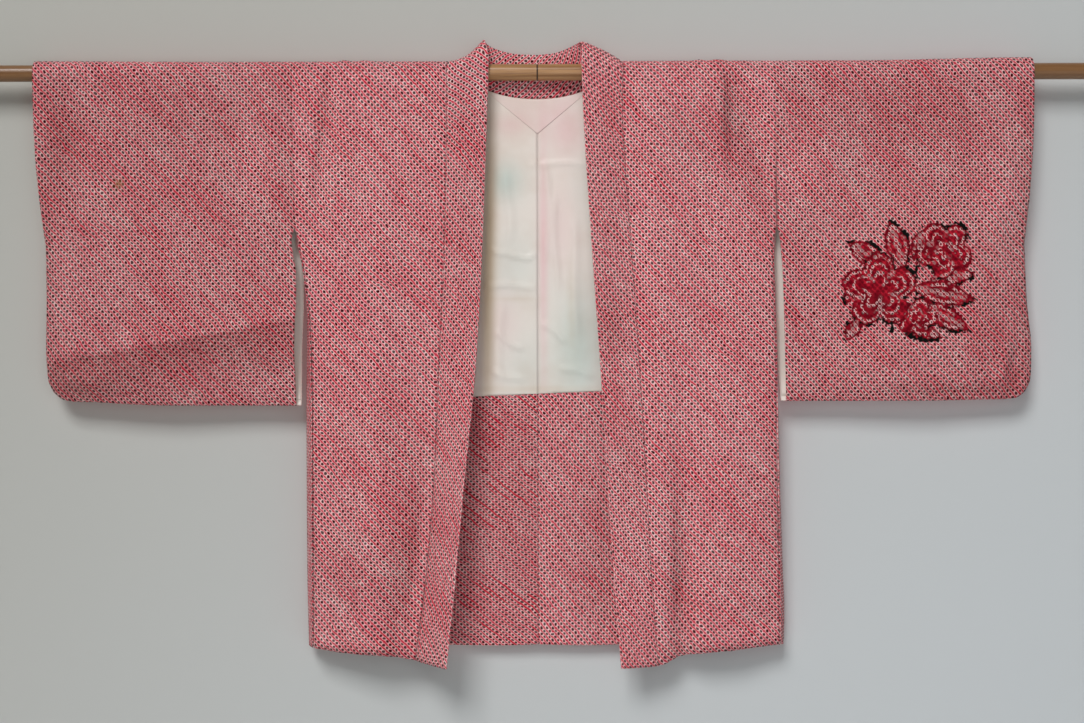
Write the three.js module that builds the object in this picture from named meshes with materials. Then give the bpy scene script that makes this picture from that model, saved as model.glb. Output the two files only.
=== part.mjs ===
// A haori, a lined Japanese jacket of dotted shibori silk, hung flat on a wooden rod that runs through both sleeves.
// Millimetres, +Z up. The front faces -Y. The origin is on the rod's axis, in the plane of the centre back seam.
import * as THREE from 'three';

// Rod
const rodRadius = 10.5;
const rodLength = 1520;
const rodSides = 32;
const rodEndChamfer = 1.5;
const rodJointWidth = 1;
const rodJointDepth = 0.6;

// Cloth
const seamGap = 0.3;
const shellThickness = 1.5;
const liningThickness = 0.8;
const facingThickness = 1;
const gussetThickness = 1.2;
const gussetStand = 0.5;
const collarThickness = 3.6;
const collarSeamThickness = 1.6;
const collarFoldThickness = 2.6;

// The shell wraps the rod over the sleeve lining, and its middle lies at this radius.
const rodSlack = 0.6;
const shellRadius = rodRadius + rodSlack + seamGap + liningThickness + seamGap + shellThickness / 2;
const liningInset = shellThickness / 2 + seamGap + liningThickness / 2;
const facingInset = shellThickness / 2 + seamGap + facingThickness / 2;
const patchInset = liningInset + liningThickness + seamGap;

// Grid steps
const acrossSteps = 8;
const wrapSteps = 8;
const neckSteps = 6;
const sleeveFoldSteps = 4;
const collarAcrossSteps = 4;
const gussetAcrossSteps = 3;

// Rows of the panels, as shares of the drop to the hem, with the armpit, the gusset's top and the facing's top
const levels = [0, 0.08, 0.17, 0.27, 0.3, 0.345, 0.42, 0.49, 0.56, 0.65, 0.74, 0.83, 0.92, 1];
const armpitLevel = 3;
const gussetLevel = 4;
const facingLevel = 8;

// Rows of the sleeves, as shares of their depth
const sleeveLevels = [0.12, 0.24, 0.36, 0.466, 0.506, 0.56, 0.67, 0.78, 0.9, 1];

// Levels, as drops below the rod's axis
const backHemDrop = 741;
const armpitDrop = levels[armpitLevel] * backHemDrop;
const facingTopDrop = levels[facingLevel] * backHemDrop;
const facingTilt = 0.04;
const neckDrop = 32;
const patchTipDrop = 78;
const patchHalfWidth = 66;

// Left is the picture's left. Every x in these tables is a distance outwards from the centre back.
const sides = {
  left: {
    mirror: true,
    // Where the sleeve is set on the body, on the rod and at the armpit
    armholeTop: 314.8,
    armholeFoot: 311.2,
    // Free side edges of the front and the back, below the armpit
    frontSide: [
      { drop: 200, x: 311.2 },
      { drop: 222, x: 306 },
      { drop: 249, x: 300.5 },
      { drop: 294, x: 294.5 },
      { drop: 346, x: 290.5 },
      { drop: 450, x: 289 },
      { drop: 750, x: 288.5 },
    ],
    backSide: [
      { drop: 200, x: 311.2 },
      { drop: 222, x: 306 },
      { drop: 249, x: 301.5 },
      { drop: 275, x: 299 },
      { drop: 300, x: 298 },
      { drop: 330, x: 298 },
      { drop: 360, x: 299 },
      { drop: 450, x: 299.5 },
      { drop: 640, x: 299 },
      { drop: 750, x: 297 },
    ],
    gussetBulge: 0.8,
    // The front hem's drop, and how far it stands out from the rod's plane
    hem: [
      { x: 110, drop: 758, out: 5 },
      { x: 157, drop: 755, out: 7 },
      { x: 170, drop: 752, out: 11 },
      { x: 202, drop: 747, out: 19 },
      { x: 250, drop: 745, out: 9 },
      { x: 280, drop: 742, out: 0 },
      { x: 300, drop: 740, out: -5 },
    ],
    // The collar on the front: its seam on the panel, and its free fold
    collarFront: [
      { drop: 0, seamX: 116, foldX: 62.5, foldDrop: -17, foldOut: 1.5 },
      { drop: 25, seamX: 116, foldX: 63, foldDrop: 5, foldOut: 2 },
      { drop: 60, seamX: 116, foldX: 64.5, foldDrop: 50, foldOut: 2.5 },
      { drop: 110, seamX: 117, foldX: 66.5, foldDrop: 107, foldOut: 3.5 },
      { drop: 240, seamX: 120, foldX: 71.5, foldDrop: 240, foldOut: 7 },
      { drop: 380, seamX: 126.5, foldX: 79.5, foldDrop: 380, foldOut: 15 },
      { drop: 520, seamX: 132.5, foldX: 93, foldDrop: 521, foldOut: 28 },
      { drop: 640, seamX: 142.5, foldX: 104, foldDrop: 640, foldOut: 36 },
      { drop: 755, seamX: 157, foldX: 116, foldDrop: 758.5, foldOut: 42 },
    ],
    neckHalfWidth: 101,
    shoulderShift: 15,
    collarDip: 6,
    // The collar's free fold, from the centre back over the neck to the front, by the share of the way
    neckFold: [
      { way: 0, x: 0, y: 14, z: 24.5 },
      { way: 0.12, x: 24, y: 14, z: 25.5 },
      { way: 0.24, x: 44, y: 13.8, z: 29 },
      { way: 0.36, x: 59, y: 13.4, z: 34.5 },
      { way: 0.46, x: 66, y: 12, z: 39 },
      { way: 0.56, x: 68, y: 8, z: 41.5 },
      { way: 0.68, x: 68, y: 1.5, z: 41.5 },
      { way: 0.8, x: 67, y: -5.5, z: 37 },
      { way: 0.9, x: 64.5, y: -11, z: 28 },
      { way: 1, x: 62.5, y: -14.15, z: 17 },
    ],
    // Sleeve rings: where each crosses the rod, the point of the closed edge that it runs down to, and how late
    // it turns there
    rings: [
      { top: 314.8, x: 311, z: -429, bend: 1 },
      { top: 342, x: 353, z: -429, bend: 1 },
      { top: 370, x: 399, z: -429, bend: 1 },
      { top: 399, x: 445, z: -428.5, bend: 1 },
      { top: 429, x: 491, z: -428, bend: 1.1 },
      { top: 458, x: 532, z: -426.5, bend: 1.2 },
      { top: 484, x: 567, z: -424, bend: 1.4 },
      { top: 507, x: 596, z: -423.5, bend: 1.6 },
      { top: 527, x: 614, z: -420, bend: 1.8 },
      { top: 546, x: 625.5, z: -410.5, bend: 2 },
      { top: 565, x: 632, z: -395, bend: 2.4 },
      { top: 590, x: 634.5, z: -355, bend: 3 },
      { top: 618, x: 633.5, z: -290, bend: 4 },
      { top: 647, x: 634, z: -222, bend: 1 },
    ],
    // The sleeve's open inner edge below the armpit
    innerEdge: [
      { drop: 200, x: 311.2 },
      { drop: 217, x: 315.5 },
      { drop: 235, x: 313.5 },
      { drop: 260, x: 310 },
      { drop: 300, x: 310 },
      { drop: 360, x: 312.2 },
      { drop: 436, x: 311.5 },
    ],
    cuffBow: 3.5,
    cuffLift: 1.2,
    layerSpread: 6,
    // Soft folds: the middle, the direction, the half length, the half width, and the depth, negative for a ridge
    sleeveFolds: [
      { x: 566, z: -370, turn: -18, long: 46, wide: 13, deep: 5 },
      { x: 580, z: -404, turn: 35, long: 30, wide: 11, deep: -4 },
      { x: 455, z: -366, turn: 5, long: 45, wide: 24, deep: 4 },
      { x: 380, z: -250, turn: 80, long: 130, wide: 30, deep: -2.5 },
    ],
    frontFolds: [
      { x: 242, z: -60, turn: 88, long: 70, wide: 9, deep: 2.5 },
      { x: 215, z: -80, turn: 92, long: 90, wide: 14, deep: -1.5 },
      { x: 190, z: -420, turn: 92, long: 190, wide: 20, deep: -3 },
      { x: 270, z: -500, turn: 86, long: 160, wide: 16, deep: 2.5 },
    ],
    backFolds: [
      { x: 90, z: -470, turn: 88, long: 240, wide: 26, deep: -3 },
      { x: 190, z: -420, turn: 93, long: 260, wide: 30, deep: 2 },
      { x: 265, z: -560, turn: 89, long: 180, wide: 18, deep: -3 },
    ],
  },
  right: {
    mirror: false,
    armholeTop: 305.4,
    armholeFoot: 307,
    frontSide: [
      { drop: 200, x: 307 },
      { drop: 230, x: 301.5 },
      { drop: 294, x: 302.5 },
      { drop: 346, x: 304.5 },
      { drop: 450, x: 306 },
      { drop: 640, x: 308.5 },
      { drop: 750, x: 309.5 },
    ],
    backSide: [
      { drop: 200, x: 307 },
      { drop: 230, x: 301.5 },
      { drop: 294, x: 301.5 },
      { drop: 346, x: 304 },
      { drop: 397, x: 306.6 },
      { drop: 449, x: 309.2 },
      { drop: 640, x: 315.8 },
      { drop: 697, x: 318 },
      { drop: 750, x: 316.5 },
    ],
    gussetBulge: 0.8,
    hem: [
      { x: 100, drop: 764, out: 5 },
      { x: 153, drop: 763, out: 5 },
      { x: 182, drop: 753, out: 1 },
      { x: 209, drop: 748, out: 4 },
      { x: 250, drop: 744, out: 4 },
      { x: 290, drop: 740, out: -4 },
      { x: 320, drop: 738, out: -9 },
    ],
    collarFront: [
      { drop: 0, seamX: 110.5, foldX: 57, foldDrop: -16, foldOut: 1.5 },
      { drop: 25, seamX: 109.5, foldX: 57.5, foldDrop: 5, foldOut: 2 },
      { drop: 60, seamX: 109.5, foldX: 59, foldDrop: 50, foldOut: 2.5 },
      { drop: 110, seamX: 112, foldX: 62, foldDrop: 107, foldOut: 3.5 },
      { drop: 240, seamX: 121, foldX: 70.5, foldDrop: 240, foldOut: 5 },
      { drop: 380, seamX: 130, foldX: 80, foldDrop: 380, foldOut: 7 },
      { drop: 520, seamX: 138, foldX: 88.5, foldDrop: 520, foldOut: 9 },
      { drop: 640, seamX: 144.5, foldX: 96, foldDrop: 641, foldOut: 11 },
      { drop: 763, seamX: 153, foldX: 105.5, foldDrop: 764, foldOut: 14 },
    ],
    neckHalfWidth: 98,
    shoulderShift: 12.5,
    collarDip: -2.5,
    neckFold: [
      { way: 0, x: 0, y: 14, z: 24.5 },
      { way: 0.12, x: 20, y: 14, z: 26.5 },
      { way: 0.24, x: 35, y: 13.8, z: 31 },
      { way: 0.36, x: 46, y: 13.4, z: 36 },
      { way: 0.46, x: 52, y: 12, z: 39 },
      { way: 0.56, x: 55, y: 8, z: 40 },
      { way: 0.68, x: 56.5, y: 1.5, z: 39 },
      { way: 0.8, x: 57.5, y: -5.5, z: 34.5 },
      { way: 0.9, x: 57.5, y: -11, z: 26.5 },
      { way: 1, x: 57, y: -14.15, z: 16 },
    ],
    rings: [
      { top: 305.4, x: 320, z: -424.5, bend: 1 },
      { top: 333, x: 362, z: -424.5, bend: 1 },
      { top: 362, x: 404, z: -424.5, bend: 1 },
      { top: 392, x: 447, z: -424.5, bend: 1 },
      { top: 423, x: 490, z: -424.5, bend: 1.1 },
      { top: 452, x: 531, z: -424, bend: 1.2 },
      { top: 478, x: 567, z: -423.5, bend: 1.4 },
      { top: 500, x: 598, z: -423, bend: 1.6 },
      { top: 520, x: 617, z: -421, bend: 1.8 },
      { top: 538, x: 628.5, z: -412.5, bend: 2 },
      { top: 557, x: 635, z: -398, bend: 2.4 },
      { top: 582, x: 636.5, z: -362, bend: 3 },
      { top: 605, x: 630.5, z: -295, bend: 5 },
      { top: 637, x: 627, z: -222, bend: 1 },
    ],
    innerEdge: [
      { drop: 200, x: 307 },
      { drop: 217, x: 310.5 },
      { drop: 268, x: 314.5 },
      { drop: 350, x: 317 },
      { drop: 428.5, x: 320 },
    ],
    cuffBow: 3,
    cuffLift: 3.5,
    layerSpread: 6.5,
    sleeveFolds: [
      { x: 613, z: -392, turn: 80, long: 34, wide: 9, deep: 4 },
      { x: 608, z: -208, turn: 100, long: 34, wide: 12, deep: 3 },
      { x: 470, z: -190, turn: 60, long: 110, wide: 32, deep: -2.5 },
      { x: 380, z: -350, turn: 20, long: 70, wide: 24, deep: 2.5 },
    ],
    frontFolds: [
      { x: 249, z: -58, turn: 95, long: 62, wide: 10, deep: 3.5 },
      { x: 225, z: -90, turn: 90, long: 90, wide: 14, deep: -1.5 },
      { x: 183, z: -715, turn: 90, long: 110, wide: 14, deep: 5 },
      { x: 286, z: -706, turn: 3, long: 34, wide: 8, deep: 2 },
      { x: 240, z: -430, turn: 88, long: 200, wide: 24, deep: -2.5 },
    ],
    backFolds: [
      { x: 95, z: -500, turn: 91, long: 220, wide: 24, deep: -2.5 },
      { x: 180, z: -430, turn: 88, long: 260, wide: 30, deep: 2 },
      { x: 270, z: -560, turn: 91, long: 180, wide: 20, deep: -3 },
    ],
  },
};

// Small helpers
const radians = (degrees) => (degrees * Math.PI) / 180;
const mix = (a, b, t) => a + (b - a) * t;
const clamp = (t) => Math.min(1, Math.max(0, t));
const ease = (from, to, value) => {
  const t = clamp((value - from) / (to - from));
  return t * t * (3 - 2 * t);
};
const range = (steps) => Array.from({ length: steps + 1 }, (_, i) => i / steps);

// Reads a table at a key by a smooth curve that never overshoots its rows.
function read(table, key, at, column) {
  const last = table.length - 1;
  if (at <= table[0][key]) return table[0][column];
  if (at >= table[last][key]) return table[last][column];
  const i = table.findIndex((row) => row[key] > at) - 1;
  const slope = (k) => {
    if (k < 0 || k >= last) return null;
    return (table[k + 1][column] - table[k][column]) / (table[k + 1][key] - table[k][key]);
  };
  const knot = (before, after) => {
    if (before === null) return after;
    if (after === null) return before;
    return before * after <= 0 ? 0 : (2 * before * after) / (before + after);
  };
  const width = table[i + 1][key] - table[i][key];
  const m0 = knot(slope(i - 1), slope(i)) * width;
  const m1 = knot(slope(i), slope(i + 1)) * width;
  const t = (at - table[i][key]) / width;
  const h1 = t * t * (3 - 2 * t);
  const h2 = t * (1 - t) * (1 - t);
  const h3 = t * t * (t - 1);
  return mix(table[i][column], table[i + 1][column], h1) + m0 * h2 + m1 * h3;
}

// Depth of a set of soft folds at a point of a panel, positive inwards
function foldDepth(folds, x, z) {
  let depth = 0;
  for (const fold of folds) {
    const c = Math.cos(radians(fold.turn));
    const s = Math.sin(radians(fold.turn));
    const along = ((x - fold.x) * c + (z - fold.z) * s) / fold.long;
    const across = ((z - fold.z) * c - (x - fold.x) * s) / fold.wide;
    depth += fold.deep * Math.exp(-along * along - across * across);
  }
  return depth;
}

// Builds a closed wall round a grid of middle points, rows by columns. With ring, the columns join round.
// Row step cross column step is the outward side, and inset moves the wall to the inside of that grid.
// The thickness is a number, or one for each column.
function wall(grid, thickness, { inset = 0, ring = false, mirror = false } = {}) {
  const rows = grid.length;
  const cols = grid[0].length;
  const at = (i, j) => grid[i][ring ? (j + cols) % cols : Math.min(cols - 1, Math.max(0, j))];
  const positions = [];
  for (const face of [0.5, -0.5]) {
    for (let i = 0; i < rows; i++) {
      for (let j = 0; j < cols; j++) {
        const offset = face * (thickness[j] ?? thickness) - inset;
        const rowStep = new THREE.Vector3().subVectors(at(Math.min(rows - 1, i + 1), j), at(Math.max(0, i - 1), j));
        const colStep = new THREE.Vector3().subVectors(at(i, j + 1), at(i, j - 1));
        const normal = rowStep.cross(colStep).normalize();
        const point = at(i, j).clone().addScaledVector(normal, offset);
        positions.push(mirror ? -point.x : point.x, point.y, point.z);
      }
    }
  }
  const index = [];
  const inner = rows * cols;
  const quad = (a, b, c, d) => {
    if (mirror) index.push(a, c, b, a, d, c);
    else index.push(a, b, c, a, c, d);
  };
  const jEnd = ring ? cols : cols - 1;
  for (let i = 0; i < rows - 1; i++) {
    for (let j = 0; j < jEnd; j++) {
      const k = (j + 1) % cols;
      const [a, b, c, d] = [i * cols + j, (i + 1) * cols + j, (i + 1) * cols + k, i * cols + k];
      quad(a, b, c, d);
      quad(inner + a, inner + d, inner + c, inner + b);
    }
  }
  for (let j = 0; j < jEnd; j++) {
    const k = (j + 1) % cols;
    const end = (rows - 1) * cols;
    quad(j, k, inner + k, inner + j);
    quad(end + k, end + j, inner + end + j, inner + end + k);
  }
  if (!ring) {
    for (let i = 0; i < rows - 1; i++) {
      const [a, b] = [i * cols, (i + 1) * cols];
      const [c, d] = [a + cols - 1, b + cols - 1];
      quad(b, a, inner + a, inner + b);
      quad(c, d, inner + d, inner + c);
    }
  }
  const geometry = new THREE.BufferGeometry();
  geometry.setAttribute('position', new THREE.Float32BufferAttribute(positions, 3));
  geometry.setIndex(index);
  geometry.computeVertexNormals();
  return geometry;
}

// How far the front panel's middle lies in front of the rod's axis
function frontDepth(side, x, drop) {
  const share = clamp(drop / read(side.hem, 'x', x, 'drop'));
  const out = read(side.hem, 'x', x, 'out') * Math.pow(share, 1.4);
  return shellRadius + out - foldDepth(side.frontFolds, x, -drop) * ease(0, 40, drop);
}

// How far the back panel's middle lies behind the rod's axis
function backDepth(side, x, drop) {
  const out = 4 * Math.pow(clamp(drop / backHemDrop), 1.3);
  return shellRadius + out - foldDepth(side.backFolds, x, -drop) * ease(20, 120, drop);
}

// The drop of one row of the back. The facing's top edge slopes a little, and the hem waves.
function backRow(side, x, share) {
  const level = share * backHemDrop;
  const slope = (side.mirror ? 1 : -1) * facingTilt * x * ease(neckDrop, facingTopDrop, level);
  const wave = 1.5 * Math.sin(x / 38);
  return level + mix(slope, wave, ease(facingTopDrop, backHemDrop, level));
}

// The sleeve seam on the body, down to the armpit
const armholeX = (side, drop) => mix(side.armholeTop, side.armholeFoot, clamp(drop / armpitDrop));
const edgeX = (side, edge, drop) => (drop < armpitDrop ? armholeX(side, drop) : read(side[edge], 'drop', drop, 'x'));

// The collar seam on the body: along the back neck, over the rod and down the front
const neckSeamX = (side, drop) => side.neckHalfWidth * Math.pow(clamp(1 - drop / neckDrop), 1 / 2.3);
const neckSeamDrop = (side, x) => neckDrop * (1 - Math.pow(x / side.neckHalfWidth, 2.3));
const wrapSeamX = (side, turn) => side.neckHalfWidth + side.shoulderShift * Math.sin(turn / 2);
const collarFront = (side, drop, column) => read(side.collarFront, 'drop', drop, column);

// The body's edge stands off the collar seam by more where the collar leaves the panel at an angle.
function collarSeamGap(side, drop) {
  const seamX = collarFront(side, drop, 'seamX');
  const rise = shellRadius + collarFront(side, drop, 'foldOut') - frontDepth(side, seamX, drop);
  const tilt = Math.abs(Math.atan2(rise, seamX - collarFront(side, drop, 'foldX')));
  return 2 * seamGap + (collarSeamThickness / 2 + shellThickness / 2) * Math.sin(tilt);
}

const point = (x, y, z) => new THREE.Vector3(x, y, z);

// The rows of a back panel at one share of its width: from the rod round the neck, then to the facing and the hem
function backColumn(side, across) {
  const column = [];
  const neckEnd = neckDrop + seamGap;
  for (const share of range(neckSteps)) {
    const drop = neckEnd * share * (2 - share);
    const inner = Math.max(seamGap / 2, neckSeamX(side, drop - seamGap) + seamGap * (1 - share));
    const x = mix(inner, armholeX(side, drop) - seamGap / 2, across);
    column.push(point(x, backDepth(side, x, drop), -drop));
  }
  for (const share of levels.slice(1)) {
    const x = mix(seamGap / 2, edgeX(side, 'backSide', share * backHemDrop) - seamGap / 2, across);
    const drop = backRow(side, x, share);
    column.push(point(x, backDepth(side, x, drop), -drop));
  }
  return column;
}

// One body panel, cut in one piece from the front hem over the shoulder to the back hem
function bodyPanel(side) {
  const collarFoot = side.collarFront.at(-1).drop;
  const cornerDrop = side.hem.at(-1).drop;
  const rows = range(acrossSteps).map((across) => {
    const column = [];
    for (const share of levels.slice(1).reverse()) {
      const inner = collarFront(side, collarFoot * share, 'seamX') + collarSeamGap(side, collarFoot * share);
      const x = mix(inner, edgeX(side, 'frontSide', cornerDrop * share) - seamGap / 2, across);
      const drop = read(side.hem, 'x', x, 'drop') * share;
      column.push(point(x, -frontDepth(side, x, drop), -drop));
    }
    for (const share of range(wrapSteps).slice(0, -1)) {
      const turn = Math.PI * (1 - share);
      const inner = wrapSeamX(side, turn) + mix(collarSeamGap(side, 0), seamGap, share) + Math.sin(turn);
      const x = mix(inner, side.armholeTop - seamGap / 2, across);
      column.push(point(x, shellRadius * Math.cos(turn), shellRadius * Math.sin(turn)));
    }
    return [...column, ...backColumn(side, across)];
  });
  return wall(rows, shellThickness, { mirror: side.mirror });
}

// Half the distance between a sleeve's two layers: full on the rod, closing at the sewn edge
function sleeveHalfGap(side, x, z) {
  const outer = side.rings.at(-1);
  const fromBottom = z - side.rings[0].z;
  const fromSide = outer.x + 3 - x + 0.4 * Math.max(0, z - outer.z);
  const open = shellRadius - 1.5 * ease(0, 300, -z);
  return mix(4.2, open, ease(0, 75, Math.min(fromBottom, fromSide)));
}

// A sleeve's rings of middle points: down the front layer, round the sewn edge and up the back layer
function sleeveRings(side) {
  const rings = side.rings;
  const first = rings[0];
  return rings.map((ring, i) => {
    const before = rings[Math.max(0, i - 1)];
    const after = rings[Math.min(rings.length - 1, i + 1)];
    const edgeOut = new THREE.Vector2(before.z - after.z, after.x - before.x).normalize().negate();
    const seam = i === 0 ? seamGap / 2 : 0;
    const atCuff = i / (rings.length - 1);
    const lift = side.cuffLift * ease(0.25, 1, atCuff);
    const layer = (down, front) => {
      const z = mix(0, ring.z, down);
      const straight = mix(first.top, first.x, z / first.z);
      const inwards = front ? 0 : side.layerSpread * ease(armpitDrop, armpitDrop + 50, -z);
      const bow = (edgeX(side, 'innerEdge', -z) - straight - inwards) * clamp(1 - (ring.top - first.top) / 60);
      const cuffBow = side.cuffBow * Math.sin(Math.PI * down) * ease(0.9, 1, atCuff);
      const x = mix(ring.top, ring.x, Math.pow(down, ring.bend)) + bow + cuffBow + seam;
      const sway = 2.5 * Math.sin(x / 45) * ease(150, 420, -z);
      const fold = foldDepth(side.sleeveFolds, x, z) * (front ? 1 : 0.35);
      const depth = sleeveHalfGap(side, x, z) - fold * ease(0, 30, z - ring.z) * ease(0, 40, -z);
      return point(x, sway + (front ? -depth : depth), z);
    };
    const front = sleeveLevels.map((down) => layer(down, true)).reverse();
    const back = sleeveLevels.map((down) => layer(down, false));
    const wrap = range(wrapSteps).map((share) => {
      const turn = Math.PI * (1 - share);
      return point(ring.top + seam, shellRadius * Math.cos(turn), (shellRadius + lift) * Math.sin(turn));
    });
    const low = front[0];
    const high = back.at(-1);
    const middle = low.clone().add(high).multiplyScalar(0.5);
    const radius = (high.y - low.y) / 2;
    const fold = range(sleeveFoldSteps).slice(1, -1).map((share) => {
      const turn = Math.PI * share;
      const out = radius * Math.sin(turn);
      return point(middle.x + edgeOut.x * out, middle.y + radius * Math.cos(turn), middle.z + edgeOut.y * out);
    });
    return [...front, ...wrap, ...back, ...fold];
  });
}

function sleeve(side) {
  return wall(sleeveRings(side), shellThickness, { ring: true, mirror: side.mirror });
}

function sleeveLining(side) {
  const inset = liningInset + seamGap;
  return wall(sleeveRings(side), liningThickness, { inset, ring: true, mirror: side.mirror });
}

// The stations of one half of the collar, from the centre back to the front hem, each with its seam and fold points
function collarHalf(side) {
  const stations = [];
  for (const share of range(neckSteps).slice(1).reverse()) {
    const drop = neckDrop * share * (2 - share);
    const x = neckSeamX(side, drop);
    const way = (0.5 * x) / side.neckHalfWidth;
    stations.push({ seam: point(x, shellRadius + ease(0, 0.3, share), -drop), way });
  }
  for (const share of range(wrapSteps)) {
    const turn = Math.PI * share;
    const way = 0.5 + 0.5 * share;
    const x = wrapSeamX(side, turn);
    stations.push({ seam: point(x, shellRadius * Math.cos(turn), shellRadius * Math.sin(turn)), way });
  }
  for (const station of stations) {
    const fold = (column) => read(side.neckFold, 'way', station.way, column);
    station.fold = point(fold('x'), fold('y'), fold('z'));
    station.dip = side.collarDip * ease(0.5, 0.65, station.way) * (1 - ease(0.8, 1, station.way));
  }
  const rows = side.collarFront;
  const levels = rows.slice(1).flatMap((row, i) => [(row.drop + rows[i].drop) / 2, row.drop]);
  for (const level of levels) {
    const seamX = collarFront(side, level, 'seamX');
    const seam = point(seamX, -frontDepth(side, seamX, level), -level);
    const out = shellRadius + collarFront(side, level, 'foldOut');
    const fold = point(collarFront(side, level, 'foldX'), -out, -collarFront(side, level, 'foldDrop'));
    stations.push({ seam, fold, dip: 0 });
  }
  return stations;
}

// The collar is one doubled band, from the left hem round the back neck to the right hem.
function collar() {
  const mirrorX = (p) => point(-p.x, p.y, p.z);
  const left = collarHalf(sides.left).map(({ seam, fold, dip }) => ({ seam: mirrorX(seam), fold: mirrorX(fold), dip }));
  const stations = [...left.slice(1).reverse(), ...collarHalf(sides.right)];
  const shares = range(collarAcrossSteps);
  const grid = stations.map(({ seam, fold, dip }) =>
    shares.map((across) => {
      const p = seam.clone().lerp(fold, across);
      p.z -= dip * Math.sin(Math.PI * across);
      return p;
    }),
  );
  const thickness = shares.map(() => collarThickness);
  thickness[0] = collarSeamThickness;
  thickness[collarAcrossSteps] = collarFoldThickness;
  return wall(grid, thickness);
}

// A gusset closes each side between the edges of the front and the back, from below the armpit to the hem.
function gusset(side) {
  const stand = gussetStand + gussetThickness / 2;
  const cornerDrop = side.hem.at(-1).drop;
  const grid = levels.slice(gussetLevel).map((share) => {
    const frontDrop = share * cornerDrop;
    const frontX = edgeX(side, 'frontSide', frontDrop);
    const backX = edgeX(side, 'backSide', share * backHemDrop);
    const backDrop = backRow(side, backX, share);
    return range(gussetAcrossSteps).map((across) => {
      const bulge = side.gussetBulge * Math.sin(Math.PI * across);
      const x = mix(frontX, backX, across) + stand + bulge;
      const y = mix(-frontDepth(side, frontX, frontDrop), backDepth(side, backX, backDrop), across);
      return point(x, y, -mix(frontDrop, backDrop, across));
    });
  });
  return wall(grid, gussetThickness, { mirror: side.mirror });
}

// A layer that lies inside the back panel, on a run of its rows. The lining and the facing stop short of each other.
function backLayer(side, thickness, inset, from, to) {
  const grid = range(acrossSteps).map((across) => {
    const column = backColumn(side, across).slice(from, to);
    if (from > 0) column[0].z -= seamGap / 2;
    else column.at(-1).z += seamGap / 2;
    return column;
  });
  return wall(grid, thickness, { inset, mirror: side.mirror });
}

// The silk lining covers the back down to the hem facing.
function backLining(side) {
  return backLayer(side, liningThickness, liningInset, 0, neckSteps + facingLevel + 1);
}

// The shell cloth is turned up inside the back hem as a deep facing.
function hemFacing(side) {
  return backLayer(side, facingThickness, facingInset, neckSteps + facingLevel, undefined);
}

// A three-cornered patch lies on the lining under the back neck.
function neckPatch() {
  const grid = range(acrossSteps).map((share) => {
    const x = mix(-patchHalfWidth, patchHalfWidth, share);
    const side = x < 0 ? sides.left : sides.right;
    const out = Math.abs(x);
    const top = neckSeamDrop(side, out) + 1.2;
    const corner = neckSeamDrop(side, patchHalfWidth) + 3;
    const bottom = Math.max(top + 1.5, mix(patchTipDrop, corner, out / patchHalfWidth));
    return range(4).map((down) => {
      const drop = mix(top, bottom, down);
      return point(x, backDepth(side, out, drop), -drop);
    });
  });
  return wall(grid, liningThickness, { inset: patchInset });
}

// The wooden rod has a fine joint line scored round its middle.
function rod() {
  const half = rodLength / 2;
  const groove = rodJointWidth / 2;
  const profile = [
    [0, -half],
    [rodRadius - rodEndChamfer, -half],
    [rodRadius, -half + rodEndChamfer],
    [rodRadius, -groove],
    [rodRadius - rodJointDepth, 0],
    [rodRadius, groove],
    [rodRadius, half - rodEndChamfer],
    [rodRadius - rodEndChamfer, half],
    [0, half],
  ].map(([radius, height]) => new THREE.Vector2(radius, height));
  return new THREE.LatheGeometry(profile, rodSides);
}

// Finishes
const shibori = new THREE.MeshStandardMaterial({ color: 0xc4737c, roughness: 0.85, metalness: 0 });
const silkLining = new THREE.MeshStandardMaterial({ color: 0xe4dbd2, roughness: 0.55, metalness: 0 });
const wood = new THREE.MeshStandardMaterial({ color: 0xa97f4f, roughness: 0.5, metalness: 0 });

const haori = new THREE.Group();

function add(name, geometry, material) {
  const mesh = new THREE.Mesh(geometry, material);
  mesh.name = name;
  haori.add(mesh);
  return mesh;
}

for (const [name, side] of Object.entries(sides)) {
  add(`body_${name}`, bodyPanel(side), shibori);
  add(`sleeve_${name}`, sleeve(side), shibori);
  add(`sleeve_lining_${name}`, sleeveLining(side), silkLining);
  add(`gusset_${name}`, gusset(side), shibori);
  add(`back_lining_${name}`, backLining(side), silkLining);
  add(`hem_facing_${name}`, hemFacing(side), shibori);
}
add('collar', collar(), shibori);
add('neck_patch', neckPatch(), silkLining);
add('rod', rod(), wood).rotation.z = -Math.PI / 2;

export default haori;
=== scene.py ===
# Dresses the haori on its rod: dotted shibori silk outside, pale silk lining inside, a varnished rod.
# Lengths in the dictionaries are millimetres. Left is the picture's left; x runs out from the centre back.
import math
from types import SimpleNamespace

import bpy
import numpy as np
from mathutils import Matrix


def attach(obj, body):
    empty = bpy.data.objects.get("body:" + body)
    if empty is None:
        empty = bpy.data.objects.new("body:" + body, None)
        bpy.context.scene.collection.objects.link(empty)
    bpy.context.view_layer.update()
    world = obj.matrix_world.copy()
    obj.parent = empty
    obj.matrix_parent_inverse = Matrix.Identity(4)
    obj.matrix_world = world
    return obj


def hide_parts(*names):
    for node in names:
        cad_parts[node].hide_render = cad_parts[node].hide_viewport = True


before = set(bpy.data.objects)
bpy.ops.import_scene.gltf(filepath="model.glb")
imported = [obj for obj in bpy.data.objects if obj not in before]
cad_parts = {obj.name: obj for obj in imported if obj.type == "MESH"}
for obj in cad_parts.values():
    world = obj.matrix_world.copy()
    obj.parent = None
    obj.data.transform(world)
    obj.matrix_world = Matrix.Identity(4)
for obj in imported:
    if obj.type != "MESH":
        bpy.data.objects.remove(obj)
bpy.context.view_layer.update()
print("frame loaded")

# camera

cameraView = {"lens": 50, "sensor": 36, "place": (5.2, -1942, -373), "roll": 0.14}


def link(thing):
    bpy.context.scene.collection.objects.link(thing)


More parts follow.
